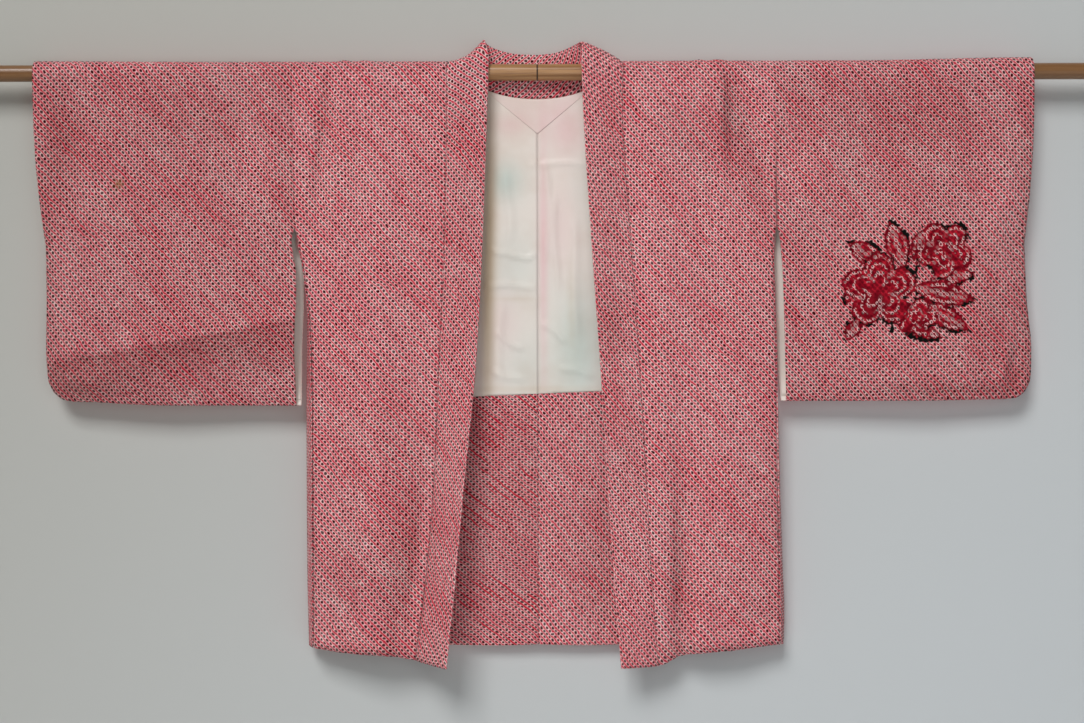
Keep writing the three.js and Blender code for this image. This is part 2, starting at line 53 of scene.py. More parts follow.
def makeCamera():
    # square to the wall, but for a slight roll
    data = bpy.data.cameras.new("camera")
    data.lens, data.sensor_width = cameraView["lens"], cameraView["sensor"]
    camera = bpy.data.objects.new("camera", data)
    camera.location = [value / 1000 for value in cameraView["place"]]
    camera.rotation_euler = (math.pi / 2, math.radians(cameraView["roll"]), 0)
    link(camera)
    bpy.context.scene.camera = camera


makeCamera()
bpy.context.scene.view_settings.view_transform = "Standard"
print("camera placed")

# cut and hang of the garment

cloth = {
    "radius": 13.25,  # of the shell's middle over the rod
    "dotAcross": 7.7,  # one dot to the next in a row
    "dotDown": 8.0,  # two rows of dots
    "dotRise": 0.75,
    "shellThick": 1.3,
    "liningThick": 0.8,
    "facingThick": 1.0,
    "gussetThick": 1.2,
    "bandThick": 1.1,
    "liningInset": 1.45,  # the insets are from the middle of the shell
    "facingInset": 1.6,
    "patchInset": 2.1,
    "sleeveInset": 1.75,
    "edgeInset": 3,  # of the inner layers, from the panel's side
    "foldScale": 1.6,  # the front's folds over what their tables say
    "hemRoll": 6,  # how far the hem turns in, over its last hemRollDrop
    "hemRollDrop": 12,
    "cuffDrop": 222,
    "gussetBulge": 0.8,
}
wrapArc = math.pi * cloth["radius"]
neckDrop, armpitDrop, facingDrop, hemDrop = 32, 200.07, 414.96, 741

left = {
    "name": "left",
    "sign": -1,
    "armhole": (314.8, 311.2),
    "frontSide": ((200, 311.2), (222, 306), (249, 300.5), (294, 294.5), (346, 290.5), (450, 289),
        (750, 288.5)),
    "backSide": ((200, 311.2), (222, 306), (249, 301.5), (275, 299), (300, 298), (330, 298), (360, 299),
        (450, 299.5), (640, 299), (750, 297)),
    # x, drop, how far it stands out
    "hem": ((110, 758, 5), (157, 755, 7), (170, 752, 11), (202, 747, 19), (250, 745, 9), (280, 742, 0),
        (300, 740, -5)),
    # drop, seam's x, fold's x, fold's drop, fold's stand
    "collarFront": ((0, 116, 62.5, -17, 1.5), (25, 116, 63, 5, 2), (60, 116, 64.5, 50, 2.5),
        (110, 117, 66.5, 107, 3.5), (240, 120, 71.5, 240, 7), (380, 126.5, 79.5, 380, 15),
        (520, 132.5, 93, 521, 28), (640, 142.5, 104, 640, 36), (755, 157, 116, 758.5, 42)),
    "neckHalfWidth": 101,
    "shoulderShift": 15,
    "collarDip": 6,
    # share of the way from the centre back, x, y, z
    "neckFold": ((0, 0, 14, 24.5), (0.12, 24, 14, 25.5), (0.24, 44, 13.8, 29), (0.36, 59, 13.4, 34.5),
        (0.46, 66, 12, 39), (0.56, 68, 8, 41.5), (0.68, 68, 1.5, 41.5), (0.8, 67, -5.5, 37),
        (0.9, 64.5, -11, 28), (1, 62.5, -14.15, 17)),
    "sleeveTop": (314.8, 647),
    # drop, x of the closed outer edge; x, drop of the closed bottom
    "sleeveOuter": ((222, 634), (290, 633.5), (355, 634.5), (395, 632), (410.5, 625.5)),
    "sleeveBottom": ((300, 429), (399, 428.7), (491, 428), (532, 426.5), (567, 424), (596, 423.5),
        (614, 420), (625.5, 410.5)),
    "innerEdge": ((200, 311.2), (217, 315.5), (235, 313.5), (260, 310), (300, 310), (360, 312.2),
        (436, 311.5)),
    "cuffBow": 3.5,
    "cuffLift": 1.2,
    "layerSpread": 6,
    # x, z, direction, half length, half width, depth inwards (a ridge is negative)
    "sleeveFolds": ((566, -370, -18, 46, 13, 5), (580, -404, 35, 30, 11, -4), (455, -366, 5, 45, 24, 4),
        (380, -250, 80, 130, 30, -2.5), (592, -345, 48, 40, 9, -3), (500, -408, 2, 60, 9, -2),
        (345, -385, 12, 34, 16, 2.5), (610, -120, 84, 90, 16, 1.6), (338, -90, 88, 100, 9, -2.5),
        (471, -345, -10.5, 230, 13, -7, 46)),
    "frontFolds": ((275, -75, -83, 90, 8, 4.5), (250, -95, -86, 130, 12, -3.5),
        (212, -320, 90, 280, 40, -5, 24), (270, -500, 86, 160, 16, 2.5), (184, -720, 88, 60, 8, 3),
        (222, -640, 93, 90, 10, -2), (150, -600, 86, 110, 9, 3)),
    "backFolds": ((90, -470, 88, 240, 26, -3), (190, -420, 93, 260, 30, 2), (265, -560, 89, 180, 18, -3),
        (140, -620, 87, 120, 14, 2.5), (230, -650, 91, 90, 12, -2.5), (60, -250, 94, 120, 20, 2)),
    "topRidges": ((248, 7, 1.6), (221, 9, 1.4)),
}
right = {
    "name": "right",
    "sign": 1,
    "armhole": (305.4, 307),
    "frontSide": ((200, 307), (230, 301.5), (294, 302.5), (346, 304.5), (450, 306), (640, 308.5),
        (750, 309.5)),
    "backSide": ((200, 307), (230, 301.5), (294, 301.5), (346, 304), (397, 306.6), (449, 309.2),
        (640, 315.8), (697, 318), (750, 316.5)),
    "hem": ((100, 764, 5), (153, 763, 5), (182, 753, 1), (209, 748, 4), (250, 744, 4), (290, 740, -4),
        (320, 738, -9)),
    "collarFront": ((0, 110.5, 57, -16, 1.5), (25, 109.5, 57.5, 5, 2), (60, 109.5, 59, 50, 2.5),
        (110, 112, 62, 107, 3.5), (240, 121, 70.5, 240, 5), (380, 130, 80, 380, 7),
        (520, 138, 88.5, 520, 9), (640, 144.5, 96, 641, 11), (763, 153, 105.5, 764, 14)),
    "neckHalfWidth": 98,
    "shoulderShift": 12.5,
    "collarDip": -2.5,
    "neckFold": ((0, 0, 14, 24.5), (0.12, 20, 14, 26.5), (0.24, 35, 13.8, 31), (0.36, 46, 13.4, 36),
        (0.46, 52, 12, 39), (0.56, 55, 8, 40), (0.68, 56.5, 1.5, 39), (0.8, 57.5, -5.5, 34.5),
        (0.9, 57.5, -11, 26.5), (1, 57, -14.15, 16)),
    "sleeveTop": (305.4, 637),
    "sleeveOuter": ((222, 627), (295, 630.5), (362, 636.5), (398, 635), (412.5, 628.5)),
    "sleeveBottom": ((300, 424.5), (490, 424.5), (531, 424), (567, 423.5), (598, 423), (617, 421),
        (628.5, 412.5)),
    "innerEdge": ((200, 307), (217, 310.5), (268, 314.5), (350, 317), (428.5, 320)),
    "cuffBow": 3,
    "cuffLift": 3.5,
    "layerSpread": 6.5,
    "sleeveFolds": ((613, -392, 80, 34, 9, 4), (608, -208, 100, 34, 12, 3), (470, -190, 60, 110, 32, -2.5),
        (380, -350, 20, 70, 24, 2.5), (597, -380, 74, 40, 8, -2.5), (520, -405, 3, 70, 9, -1.6),
        (350, -130, 60, 60, 26, -4), (560, -90, 96, 90, 14, 1.6), (600, -170, 90, 60, 24, -3, 14)),
    "frontFolds": ((236, -40, 90, 85, 26, -4.5, 9), (268, -95, -74, 120, 22, 4.5),
        (183, -700, 90, 120, 13, 7, 20), (286, -706, 3, 34, 8, 2.5), (240, -430, 88, 200, 24, -2.5),
        (215, -690, 84, 60, 9, -2.5), (152, -310, 89, 280, 24, -4.5, 60)),
    "backFolds": ((95, -500, 91, 220, 24, -2.5), (180, -430, 88, 260, 30, 2), (270, -560, 91, 180, 20, -3),
        (130, -640, 93, 110, 12, 2.5), (225, -620, 88, 100, 14, -2.5), (50, -270, 86, 130, 18, 2)),
    "topRidges": ((209, 6, 1.6), (232, 9, 1.8)),
}
sides = (left, right)


def mixed(a, b, share):
    # a + share * (b - a)
    return a + (b - a) * share


def eased(start, end, value):
    # 3t^2 - 2t^3, with t the share of the way from start to end
    t = np.clip((value - start) / (end - start), 0, 1)
    return t * t * (3 - 2 * t)


def readTable(rows, at, column=1):
    # a cubic through the rows; each slope is the harmonic mean of its neighbours', so it never overshoots
    rows = np.array(rows, float)
    keys, values = rows[:, 0], rows[:, column]
    steps = np.diff(keys)
    slopes = np.diff(values) / steps
    before, after = np.append(slopes[:1], slopes), np.append(slopes, slopes[-1:])
    level = before * after > 0
    tangents = np.where(level, 2 * before * after / np.where(level, before + after, 1), 0)
    at = np.clip(at, keys[0], keys[-1])
    i = np.clip(np.searchsorted(keys, at, side="right") - 1, 0, len(keys) - 2)
    t = (at - keys[i]) / steps[i]
    rise = t * t * (3 - 2 * t)
    return (mixed(values[i], values[i + 1], rise) + t * (1 - t) ** 2 * steps[i] * tangents[i]
            - t * t * (1 - t) * steps[i] * tangents[i + 1])


def foldDepth(folds, x, z):
    # sum of deep * exp(-along^2 - across^2), measured in each fold's half length and half width;
    # a seventh number is the half width of the flank to the right of the fold's direction
    depth = np.zeros(np.broadcast(x, z).shape)
    for foldX, foldZ, turn, long, wide, deep, *other in folds:
        c, s = math.cos(math.radians(turn)), math.sin(math.radians(turn))
        along = ((x - foldX) * c + (z - foldZ) * s) / long
        across = (z - foldZ) * c - (x - foldX) * s
        across = across / np.where(across > 0, wide, other[0] if other else wide)
        depth += deep * np.exp(-along**2 - across**2)
    return depth


def topRidge(side, x):
    # small ridges that the cloth makes where it turns over the rod
    return sum(high * np.exp(-(((x - at) / wide) ** 2)) for at, wide, high in side["topRidges"])


def frontDepth(side, x, drop):
    # radius + out * (share of the hem's drop)^1.4, less the hem's roll and the folds, which fade at the rod
    hem = readTable(side["hem"], x, 1)
    out = readTable(side["hem"], x, 2) * np.clip(drop / hem, 0, 1) ** 1.4
    out = out + topRidge(side, x) * (1 - eased(20, 170, drop))
    out = out - cloth["hemRoll"] * np.clip((drop - hem) / cloth["hemRollDrop"] + 1, 0, 1) ** 2
    folds = cloth["foldScale"] * foldDepth(side["frontFolds"], x, -drop)
    return cloth["radius"] + out - folds * eased(0, 40, drop)


def backDepth(side, x, drop):
    # radius + 4 * (share of the hem's drop)^1.3, less the folds
    out = 4 * np.clip(drop / hemDrop, 0, 1) ** 1.3 + topRidge(side, x) * (1 - eased(0, 60, drop))
    return cloth["radius"] + out - foldDepth(side["backFolds"], x, -drop) * eased(20, 120, drop)


def armholeX(side, drop):
    # straight from the shoulder to the armpit
    return mixed(side["armhole"][0], side["armhole"][1], np.clip(drop / armpitDrop, 0, 1))


def edgeX(side, edge, drop):
    # the armhole, and below the armpit the edge's own table
    return np.where(drop < armpitDrop, armholeX(side, drop), readTable(side[edge], drop))


def neckSeamDrop(side, x):
    # neckDrop * (1 - (x / half width)^2.3)
    return neckDrop * (1 - np.clip(x / side["neckHalfWidth"], 0, 1) ** 2.3)


def facingTop(side, x):
    # a line that falls by 1 in 25 to the picture's right
    return facingDrop - side["sign"] * 0.04 * x


def backHem(x):
    # level, wavering by 1.5 mm
    return hemDrop + 1.5 * np.sin(x / 38)


def collarGap(side, drop):
    # a hair's breadth, and more where the collar leaves the panel at an angle
    seamX, foldX = (readTable(side["collarFront"], drop, column) for column in (1, 2))
    rise = cloth["radius"] + readTable(side["collarFront"], drop, 4) - frontDepth(side, seamX, drop)
    return 0.15 + 0.95 * np.sin(np.abs(np.arctan2(rise, seamX - foldX)))


def dropAndTurn(way):
    # way is minus the drop on the front, then the arc over the rod, then the arc plus the drop on the back
    return np.maximum(np.maximum(-way, way - wrapArc), 0), math.pi * (1 - np.clip(way / wrapArc, 0, 1))


def bodySurface(side, x, way):
    # front and back at their depths, and a half circle over the rod between them
    drop, turn = dropAndTurn(way)
    radius = cloth["radius"] + topRidge(side, x)
    front, back = way < 0, way > wrapArc
    y = np.where(back, backDepth(side, x, drop), radius * np.cos(turn))
    y = np.where(front, -frontDepth(side, x, drop), y)
    z = np.where(front | back, -drop, radius * np.sin(turn))
    return np.stack([x + 0 * way, y, z], -1)


# making of meshes

rng = np.random.default_rng(7)
normalStep = 0.3


def laidOn(surface, x, way):
    # places on the surface, and normals: the cross product of short steps across and along
    across = surface(x + normalStep, way) - surface(x - normalStep, way)
    along = surface(x, way + normalStep) - surface(x, way - normalStep)
    normals = np.cross(across, along)
    return surface(x, way), normals / np.linalg.norm(normals, axis=-1, keepdims=True)


def splitCells(a, b, c, d, even, odd):
    # two triangles a cell; the diagonals alternate, so that each dot stands in a diamond
    threes = (((a, b, d), even), ((b, c, d), even), ((a, b, c), odd), ((a, c, d), odd))
    return np.concatenate([np.stack(corners, -1)[mask] for corners, mask in threes])


def trimmedLattice(columns, rows, trim, stepX, stepWay):
    # a square lattice whose outer points are pulled onto the cut's outline; cells wholly outside are left out
    j, i = np.meshgrid(columns, rows)
    x, way = j * stepX, i * stepWay
    cutX, cutWay = trim(x, way)
    inside = (np.abs(cutX - x) < 1e-6) & (np.abs(cutWay - way) < 1e-6)
    keys = np.round(np.stack([cutX, cutWay], -1).reshape(-1, 2) * 200).astype(np.int64)
    _, first, index = np.unique(keys, axis=0, return_index=True, return_inverse=True)
    index = index.reshape(x.shape)
    kept = inside[:-1, :-1] | inside[:-1, 1:] | inside[1:, 1:] | inside[1:, :-1]
    even = kept & ((i + j)[:-1, :-1] % 2 == 0)
    triangles = splitCells(index[:-1, :-1], index[:-1, 1:], index[1:, 1:], index[1:, :-1], even, kept & ~even)
    same = (triangles == np.roll(triangles, 1, axis=1)).any(1)
    used, triangles = np.unique(triangles[~same], return_inverse=True)
    pick = first[used]
    dots = inside & ((i + j) % 2 == 0)
    cutX, cutWay, dots, cut = (values.reshape(-1)[pick] for values in (cutX, cutWay, dots, ~inside))
    return cutX, cutWay, triangles.reshape(-1, 3), dots, cut


def gridTriangles(rows, columns):
    i, j = np.meshgrid(np.arange(rows - 1), np.arange(columns - 1), indexing="ij")
    a = i * columns + j
    even = (i + j) % 2 == 0
    return splitCells(a, a + 1, a + columns + 1, a + columns, even, ~even)


def gridDots(rows, columns):
    # every second point of a grid, apart from its edges
    i, j = np.meshgrid(np.arange(rows), np.arange(columns), indexing="ij")
    return ((i + j) % 2 == 0) & (j > 0) & (j < columns - 1) & (i > 0) & (i < rows - 1)


def gridNormals(points):
    # cross product of the steps across the columns and down the rows
    across, along = np.gradient(points, axis=1), np.gradient(points, axis=0)
    normals = np.cross(across, along)
    return normals / np.maximum(np.linalg.norm(normals, axis=-1, keepdims=True), 1e-9)


def wallMesh(name, points, normals, triangles, outer, inner, uv, material, innerMaterial=None, flip=False):
    # a face at points + normals * outer, one at points - normals * inner, and a rim along every open edge
    count = len(points)
    outer, inner = np.broadcast_to(outer, count)[:, None], np.broadcast_to(inner, count)[:, None]
    places = np.concatenate([points + normals * outer, points - normals * inner]) / 1000
    edges = np.concatenate([triangles[:, [0, 1]], triangles[:, [1, 2]], triangles[:, [2, 0]]])
    keys, back = edges[:, 0] * count + edges[:, 1], edges[:, 1] * count + edges[:, 0]
    a, b = edges[~np.isin(keys, back)].T
    faces = np.concatenate([triangles, triangles[:, ::-1] + count, np.stack([b, a, a + count], -1),
                            np.stack([b, a + count, b + count], -1)])
    if flip:
        faces = faces[:, ::-1]
    mesh = bpy.data.meshes.new(name)
    mesh.from_pydata(places.tolist(), [], faces.tolist())
    corners = np.concatenate([uv, uv])[faces.reshape(-1)]
    mesh.uv_layers.new(name="cloth").data.foreach_set("uv", corners.astype(np.float32).reshape(-1))
    mesh.polygons.foreach_set("use_smooth", np.ones(len(faces), bool))
    mesh.materials.append(material)
    if innerMaterial:
        mesh.materials.append(innerMaterial)
        slots = np.zeros(len(faces), np.int32)
        slots[len(triangles):2 * len(triangles)] = 1
        mesh.polygons.foreach_set("material_index", slots)
    mesh.update()
    piece = bpy.data.objects.new(name, mesh)
    link(piece)
    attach(piece, "root")
    return piece


def sidePiece(name, side, points, normals, *rest):
    # the picture's left is a mirror image, so its faces are turned over
    mirror = np.array([side["sign"], 1, 1])
    return wallMesh(name, points * mirror, normals * mirror, *rest, flip=side["sign"] < 0)


def paint(piece, name, values):
    # a number at every point of both faces, read by the material
    values = np.concatenate([values, values]).astype(np.float32)
    layer = piece.data.attributes.new(name, "FLOAT", "POINT")
    layer.data.foreach_set("value", values)


panelPaintedShade = {  # painted shade: how much darker each panel is painted, the panel's own, then soft patches written as the folds are; they paint crease shadows and falloff of light, and negative ones paint light
    "sleeve_left": (0.42, ((595, -392, 0, 60, 26, 0.55), (471, -349, -10.5, 240, 3, 0.65, 44),
        (612, -80, 90, 80, 24, 0.45), (470, -60, 0, 90, 60, 0.15), (360, -110, 90, 70, 26, -0.3),
        (632, -260, 90, 120, 10, 0.4))),
    "sleeve_right": (0.35, ((632, -230, 90, 200, 12, 0.5), (480, -60, 0, 120, 40, 0.2),
        (540, -410, 0, 130, 9, 0.5), (345, -140, 0, 40, 40, -0.35), (598, -170, 0, 26, 30, -0.35),
        (590, -330, 0, 30, 60, 0.25), (614, -398, 62, 26, 4, 0.7))),
    "body_left": (0, ((163, -630, 98, 120, 7, 0.7, 24), (250, -650, 0, 60, 50, 0.3),
        (292, -500, 90, 200, 10, 0.3), (276, -80, 97, 90, 3, 0.5, 9), (190, -500, 90, 120, 12, 0.15),
        (230, -744, 0, 80, 6, 0.5))),
    "body_right": (0, ((200, -80, 0, 50, 46, 0.3), (270, -95, -74, 120, 16, 0.45, 22),
        (238, -60, 90, 70, 2, 0.5, 8), (302, -500, 90, 250, 12, 0.4), (176, -640, 92, 130, 4, 0.7, 14),
        (240, -742, 0, 90, 6, 0.5))),
    "facing_left": (0.25, ((-20, -600, 90, 120, 30, 0.15),)),
    "facing_right": (0.05, ((70, -640, 0, 30, 90, 0.25),)),
    "collar": (0.05, ((-90, -150, 90, 230, 26, 0.15), (92, -180, 90, 230, 24, 0.25),
        (96, -330, 0, 18, 46, 0.4), (110, -480, 0, 22, 70, 0.2))),
}


def paintedShadeOf(panel, x, z):
    # painted shade: base + the same sum as foldDepth
    base, patches = panelPaintedShade[panel]
    return base + foldDepth(patches, x, z)


def dotRelief(dots):
    # each dot stands out by its own share of dotRise
    return np.where(dots, cloth["dotRise"] * rng.uniform(0.7, 1.2, len(dots)), 0)


def shellSheet(name, side, surface, trim, columns, rows):
    # one panel of the shell: a lattice with a point at each dot, trimmed to the cut, laid on its surface
    steps = cloth["dotAcross"] / 2, cloth["dotDown"] / 2
    x, way, triangles, dots, cut = trimmedLattice(columns, rows, trim, *steps)
    points, normals = laidOn(surface, x, way)
    half = cloth["shellThick"] / 2
    outer = np.where(cut, half * 0.6, half + dotRelief(dots))
    uv = np.stack([side["sign"] * x / cloth["dotAcross"], way / cloth["dotDown"]], -1)
    piece = sidePiece(name, side, points, normals, triangles, outer, half, uv, shiboriMaterial,
                      liningMaterial)
    return piece, x, way


# materials


def srgb(red, green, blue):
    # screen values 0 to 255 as the shader's linear ones
    part = np.array([red, green, blue]) / 255
    part = np.where(part <= 0.04045, part / 12.92, ((part + 0.055) / 1.055) ** 2.4)
    return (*map(float, part), 1.0)


def newMaterial(name):
    # tools that build the node tree; a value given to one is a number or another node's output
    material = bpy.data.materials.new(name)
    material.use_nodes = True
    tree = material.node_tree
    shader = tree.nodes["Principled BSDF"]

    def put(socket, value):
        if isinstance(value, bpy.types.NodeSocket):
            tree.links.new(value, socket)
        else:
            socket.default_value = value

    def add(kind, inputs=(), **settings):
        node = tree.nodes.new(kind)
        for key, value in settings.items():
            setattr(node, key, value)
        for key, value in dict(inputs).items():
            put(node.inputs[key], value)
        return node

    def calc(operation, *values, clamp=False):
        return add("ShaderNodeMath", enumerate(values), operation=operation, use_clamp=clamp).outputs[0]

    def named(operation):
        return lambda a, b: calc(operation, a, b)

    times, plus, minus, most = (named(operation) for operation in ("MULTIPLY", "ADD", "SUBTRACT", "MAXIMUM"))

    def between(low, high, share):
        return plus(times(share, high - low), low)

    def step(value, start, end):
        node = add("ShaderNodeMapRange", {"Value": value, "From Min": start, "From Max": end},
                   interpolation_type="SMOOTHSTEP")
        return node.outputs["Result"]

    def blend(share, a, b, kind="MIX"):
        return add("ShaderNodeMix", {0: share, 6: a, 7: b}, data_type="RGBA", blend_type=kind).outputs[2]

    def noise(vector, scale, detail=2.0, rough=0.5, output="Fac"):
        inputs = {"Vector": vector, "Scale": scale, "Detail": detail, "Roughness": rough}
        return add("ShaderNodeTexNoise", inputs).outputs[output]

    def stretched(vector, scale):
        return add("ShaderNodeMapping", {"Vector": vector, "Scale": scale}).outputs[0]

    def attribute(key):
        return add("ShaderNodeAttribute", attribute_name=key).outputs["Fac"]

    def finish(colour, constants, height=None, strength=0.0, distance=0.0):
        put(shader.inputs["Base Color"], colour)
        for key, value in constants.items():
            shader.inputs[key].default_value = value
        if height is not None:
            bump = add("ShaderNodeBump", {"Height": height, "Strength": strength, "Distance": distance})
            put(shader.inputs["Normal"], bump.outputs[0])

    return material, SimpleNamespace(
        add=add, calc=calc, times=times, plus=plus, minus=minus, most=most, between=between, step=step,
        blend=blend, noise=noise, stretched=stretched, attribute=attribute, finish=finish, shader=shader)


shibori = {
    "ground": (216, 76, 96),
    "crimson": (212, 22, 54),
    "pale": (254, 222, 219),
    "rim": (0.62, 0.42),  # half sizes of an oval, along the slant and across it, where two dots are 1 apart
    "dot": (34, 0, 4),
    "dotLight": (70, 0, 10),
    "eye": (0.355, 0.28),
    "wash": (236, 214, 214),
    # painted shade: the tone the silk is darkened towards
    "paintedShadeTone": (212, 204, 202),
    "spray": (134, 4, 26),
    "sprayLight": (192, 28, 48),
    "sprayDeep": (74, 0, 12),
    "sprayPale": (250, 200, 200),
    "sprayDark": (12, 14, 12),
    "sprayRows": ((5.4, 2.2), (14.0, 2.0), (24.0, 2.4)),  # rows of pale beads: how far inside, half width
    "sprayRim": (0.54, 0.42),
    "sprayEye": (0.3, 0.22),
    "stain": (142, 94, 40),
    "finish": {"Roughness": 0.85, "Sheen Weight": 0.05, "Sheen Roughness": 0.5, "Specular IOR Level": 0.06},
}
outsideSpray = 60  # added to inset, so that a piece without the attribute lies outside the spray


def makeShibori():
    # s = U + V and d = U - V put a dot on every whole pair; d runs along the slanting rows of dots
    material, t = newMaterial("shiboriSilk")
    add, calc, times, plus, minus, most = t.add, t.calc, t.times, t.plus, t.minus, t.most
    between, step, blend, noise, attribute = t.between, t.step, t.blend, t.noise, t.attribute
    uv = add("ShaderNodeUVMap", uv_map="cloth").outputs[0]
    place = add("ShaderNodeTexCoord").outputs["Object"]

    def tone(key):
        return srgb(*shibori[key])

    def shaken(vector, scale, detail, amount):
        # the vector + amount * (noise - 0.5)
        away = add("ShaderNodeVectorMath", {0: noise(uv, scale, detail, 0.6, "Color"), 1: (0.5, 0.5, 0.5)},
                   operation="SUBTRACT").outputs[0]
        away = add("ShaderNodeVectorMath", {0: away, "Scale": amount}, operation="SCALE").outputs[0]
        return add("ShaderNodeVectorMath", {0: vector, 1: away}, operation="ADD").outputs[0]

    split = add("ShaderNodeSeparateXYZ", {0: shaken(shaken(uv, 0.3, 3.0, 0.8), 1.7, 1.0, 0.25)})
    s = plus(split.outputs[0], split.outputs[1])
    d = minus(split.outputs[0], split.outputs[1])
    nearS, nearD = calc("ROUND", s), calc("ROUND", d)
    offS, offD = minus(s, nearS), minus(d, nearD)

    def oval(long, short):
        # sqrt((d / long)^2 + (s / short)^2), from the nearest dot
        return calc("SQRT", plus(calc("POWER", calc("DIVIDE", offD, long), 2.0),
                                 calc("POWER", calc("DIVIDE", offS, short), 2.0)))

    cell = add("ShaderNodeCombineXYZ", {0: nearS, 1: nearD}).outputs[0]
    chance = add("ShaderNodeTexWhiteNoise", {"Vector": cell}, noise_dimensions="2D")
    luck = chance.outputs["Value"]
    rimLuck = add("ShaderNodeSeparateColor", {0: chance.outputs["Color"]}).outputs[1]
    # crimson runs in the lanes between the slanting rows, in long broken streaks of uneven strength
    along = add("ShaderNodeCombineXYZ", {0: times(calc("FLOOR", s), 7.31), 1: times(d, 0.07)}).outputs[0]
    slanted = add("ShaderNodeCombineXYZ", {0: times(s, 0.11), 1: times(d, 0.035)}).outputs[0]
    streak = noise(along, 1.0)
    patch = step(noise(slanted, 1.0, 3.0, 0.6), 0.35, 0.68)
    row = calc("ABSOLUTE", offS)
    strong = between(0.0, 0.9, step(streak, 0.22, 0.7))
    strong = calc("MULTIPLY", strong, between(0.6, 1.3, patch), clamp=True)
    wideStripe = times(times(attribute("stripe"), step(streak, 0.55, 0.61)), step(row, 0.2, 0.4))
    # each dot has a dark eye, an oval along the slant, and a pale rim round it
    eye = oval(*shibori["eye"])
    rim = times(step(oval(*shibori["rim"]), 1.1, 0.85), between(0.6, 1.0, rimLuck))
    rim = times(rim, between(1.0, 0.74, patch))
    colour = blend(rim, tone("ground"), tone("pale"))
    colour = blend(most(times(step(row, 0.3, 0.42), strong), wideStripe), colour, tone("crimson"))
    eyeShare = times(step(eye, 1.15, 0.85), between(0.86, 1.0, luck))
    colour = blend(eyeShare, colour, blend(luck, tone("dot"), tone("dotLight")))
    wash = between(0.0, 0.15, step(noise(place, 3.2), 0.4, 0.7))
    colour = blend(wash, colour, tone("wash"), "MULTIPLY")
    # painted shade: darkens the silk by the panels' shade patches, in place of crease shadows and falloff of
    # light
    colour = blend(attribute("dye"), colour, tone("paintedShadeTone"), "MULTIPLY")
    # the flower spray: inset is how far inside an outline, in mm; vein is 1 on a fold and dark on a dark edge
    mottle = noise(uv, 0.75, 3.0, 0.65)
    ragged = plus(minus(attribute("inset"), outsideSpray), times(minus(mottle, 0.5), 7.0))
    ragged = plus(ragged, times(minus(eye, 1.4), -1.6))
    red = blend(step(mottle, 0.4, 0.6), tone("spray"), tone("sprayLight"))
    deep = most(times(step(eye, 1.8, 0.9), 0.6), times(step(ragged, 3.2, 1.0), 0.75))
    deep = most(deep, times(step(noise(uv, 0.2), 0.5, 0.62), 0.55))
    red = blend(deep, red, tone("sprayDeep"))
    rows = 0.0
    for at, half in shibori["sprayRows"]:
        rows = most(rows, step(calc("ABSOLUTE", minus(ragged, at)), half, half - 1.0))
    rows = times(rows, step(noise(uv, 0.45), 0.4, 0.52))
    rows = most(rows, times(attribute("vein"), 0.8))
    beadRim = times(rows, step(oval(*shibori["sprayRim"]), 1.05, 0.85))
    red = blend(times(beadRim, 0.85), red, tone("sprayPale"))
    beadEye = times(rows, step(oval(*shibori["sprayEye"]), 1.1, 0.85))
    red = blend(times(beadEye, 0.9), red, tone("sprayDark"))
    colour = blend(step(ragged, -0.6, 0.4), colour, red)
    edge = times(times(step(ragged, -3.6, -2.6), step(ragged, 2.2, 1.2)), step(attribute("dark"), 0.45, 0.65))
    edge = times(edge, step(noise(uv, 0.6), 0.4, 0.5))
    stem = step(plus(attribute("stem"), times(mottle, 0.4)), 0.55, 0.75)
    colour = blend(most(edge, stem), colour, tone("sprayDark"))
    colour = blend(times(attribute("stain"), 0.75), colour, tone("stain"))
    # crepe: fine grain, with each dot's rim raised
    height = plus(times(noise(uv, 9.0, 2.0, 0.7), 0.35), times(step(eye, 2.4, 0.5), 0.9))
    t.finish(colour, shibori["finish"], height, 0.8, 0.0007)
    return material


liningSilk = {
    "cream": (238, 228, 219),
    # tan is a painted shadow, partly stain
    "tints": {"cool": (206, 219, 212), "rose": (236, 200, 200), "tan": (206, 186, 158)},
    "cloud": (238, 228, 222),
    "finish": {"Roughness": 0.42, "Sheen Weight": 0.2, "Specular IOR Level": 0.4},
}


def makeLining():
    # off-white habutae with faint clouds of its tints, one of them a painted shadow, a fine weave and a soft
    # lustre
    material, t = newMaterial("liningSilk")
    place = t.add("ShaderNodeTexCoord").outputs["Object"]
    colour = srgb(*liningSilk["cream"])
    for kind, tint in liningSilk["tints"].items():
        colour = t.blend(t.attribute(kind), colour, srgb(*tint))
    cloud = t.step(t.noise(place, 14.0, 3.0, 0.6), 0.4, 0.75)
    colour = t.blend(t.times(cloud, 0.5), colour, srgb(*liningSilk["cloud"]), "MULTIPLY")
    warp = t.noise(t.stretched(place, (900.0, 900.0, 130.0)), 1.0, 1.0)
    weft = t.noise(t.stretched(place, (130.0, 130.0, 1100.0)), 1.0, 1.0)
    t.finish(colour, liningSilk["finish"], t.plus(warp, weft), 0.35, 0.0002)
    return material


rodWood = {
    "light": (182, 134, 84),
    "dark": (140, 94, 50),
    "pores": (122, 80, 46),
    # painted shade towards the rod's ends
    "shadedEnds": (104, 68, 36),
    "joint": (70, 46, 28),
    "jointHalf": 0.001,
    "finish": {"Roughness": 0.38, "Coat Weight": 0.25, "Coat Roughness": 0.2},
}


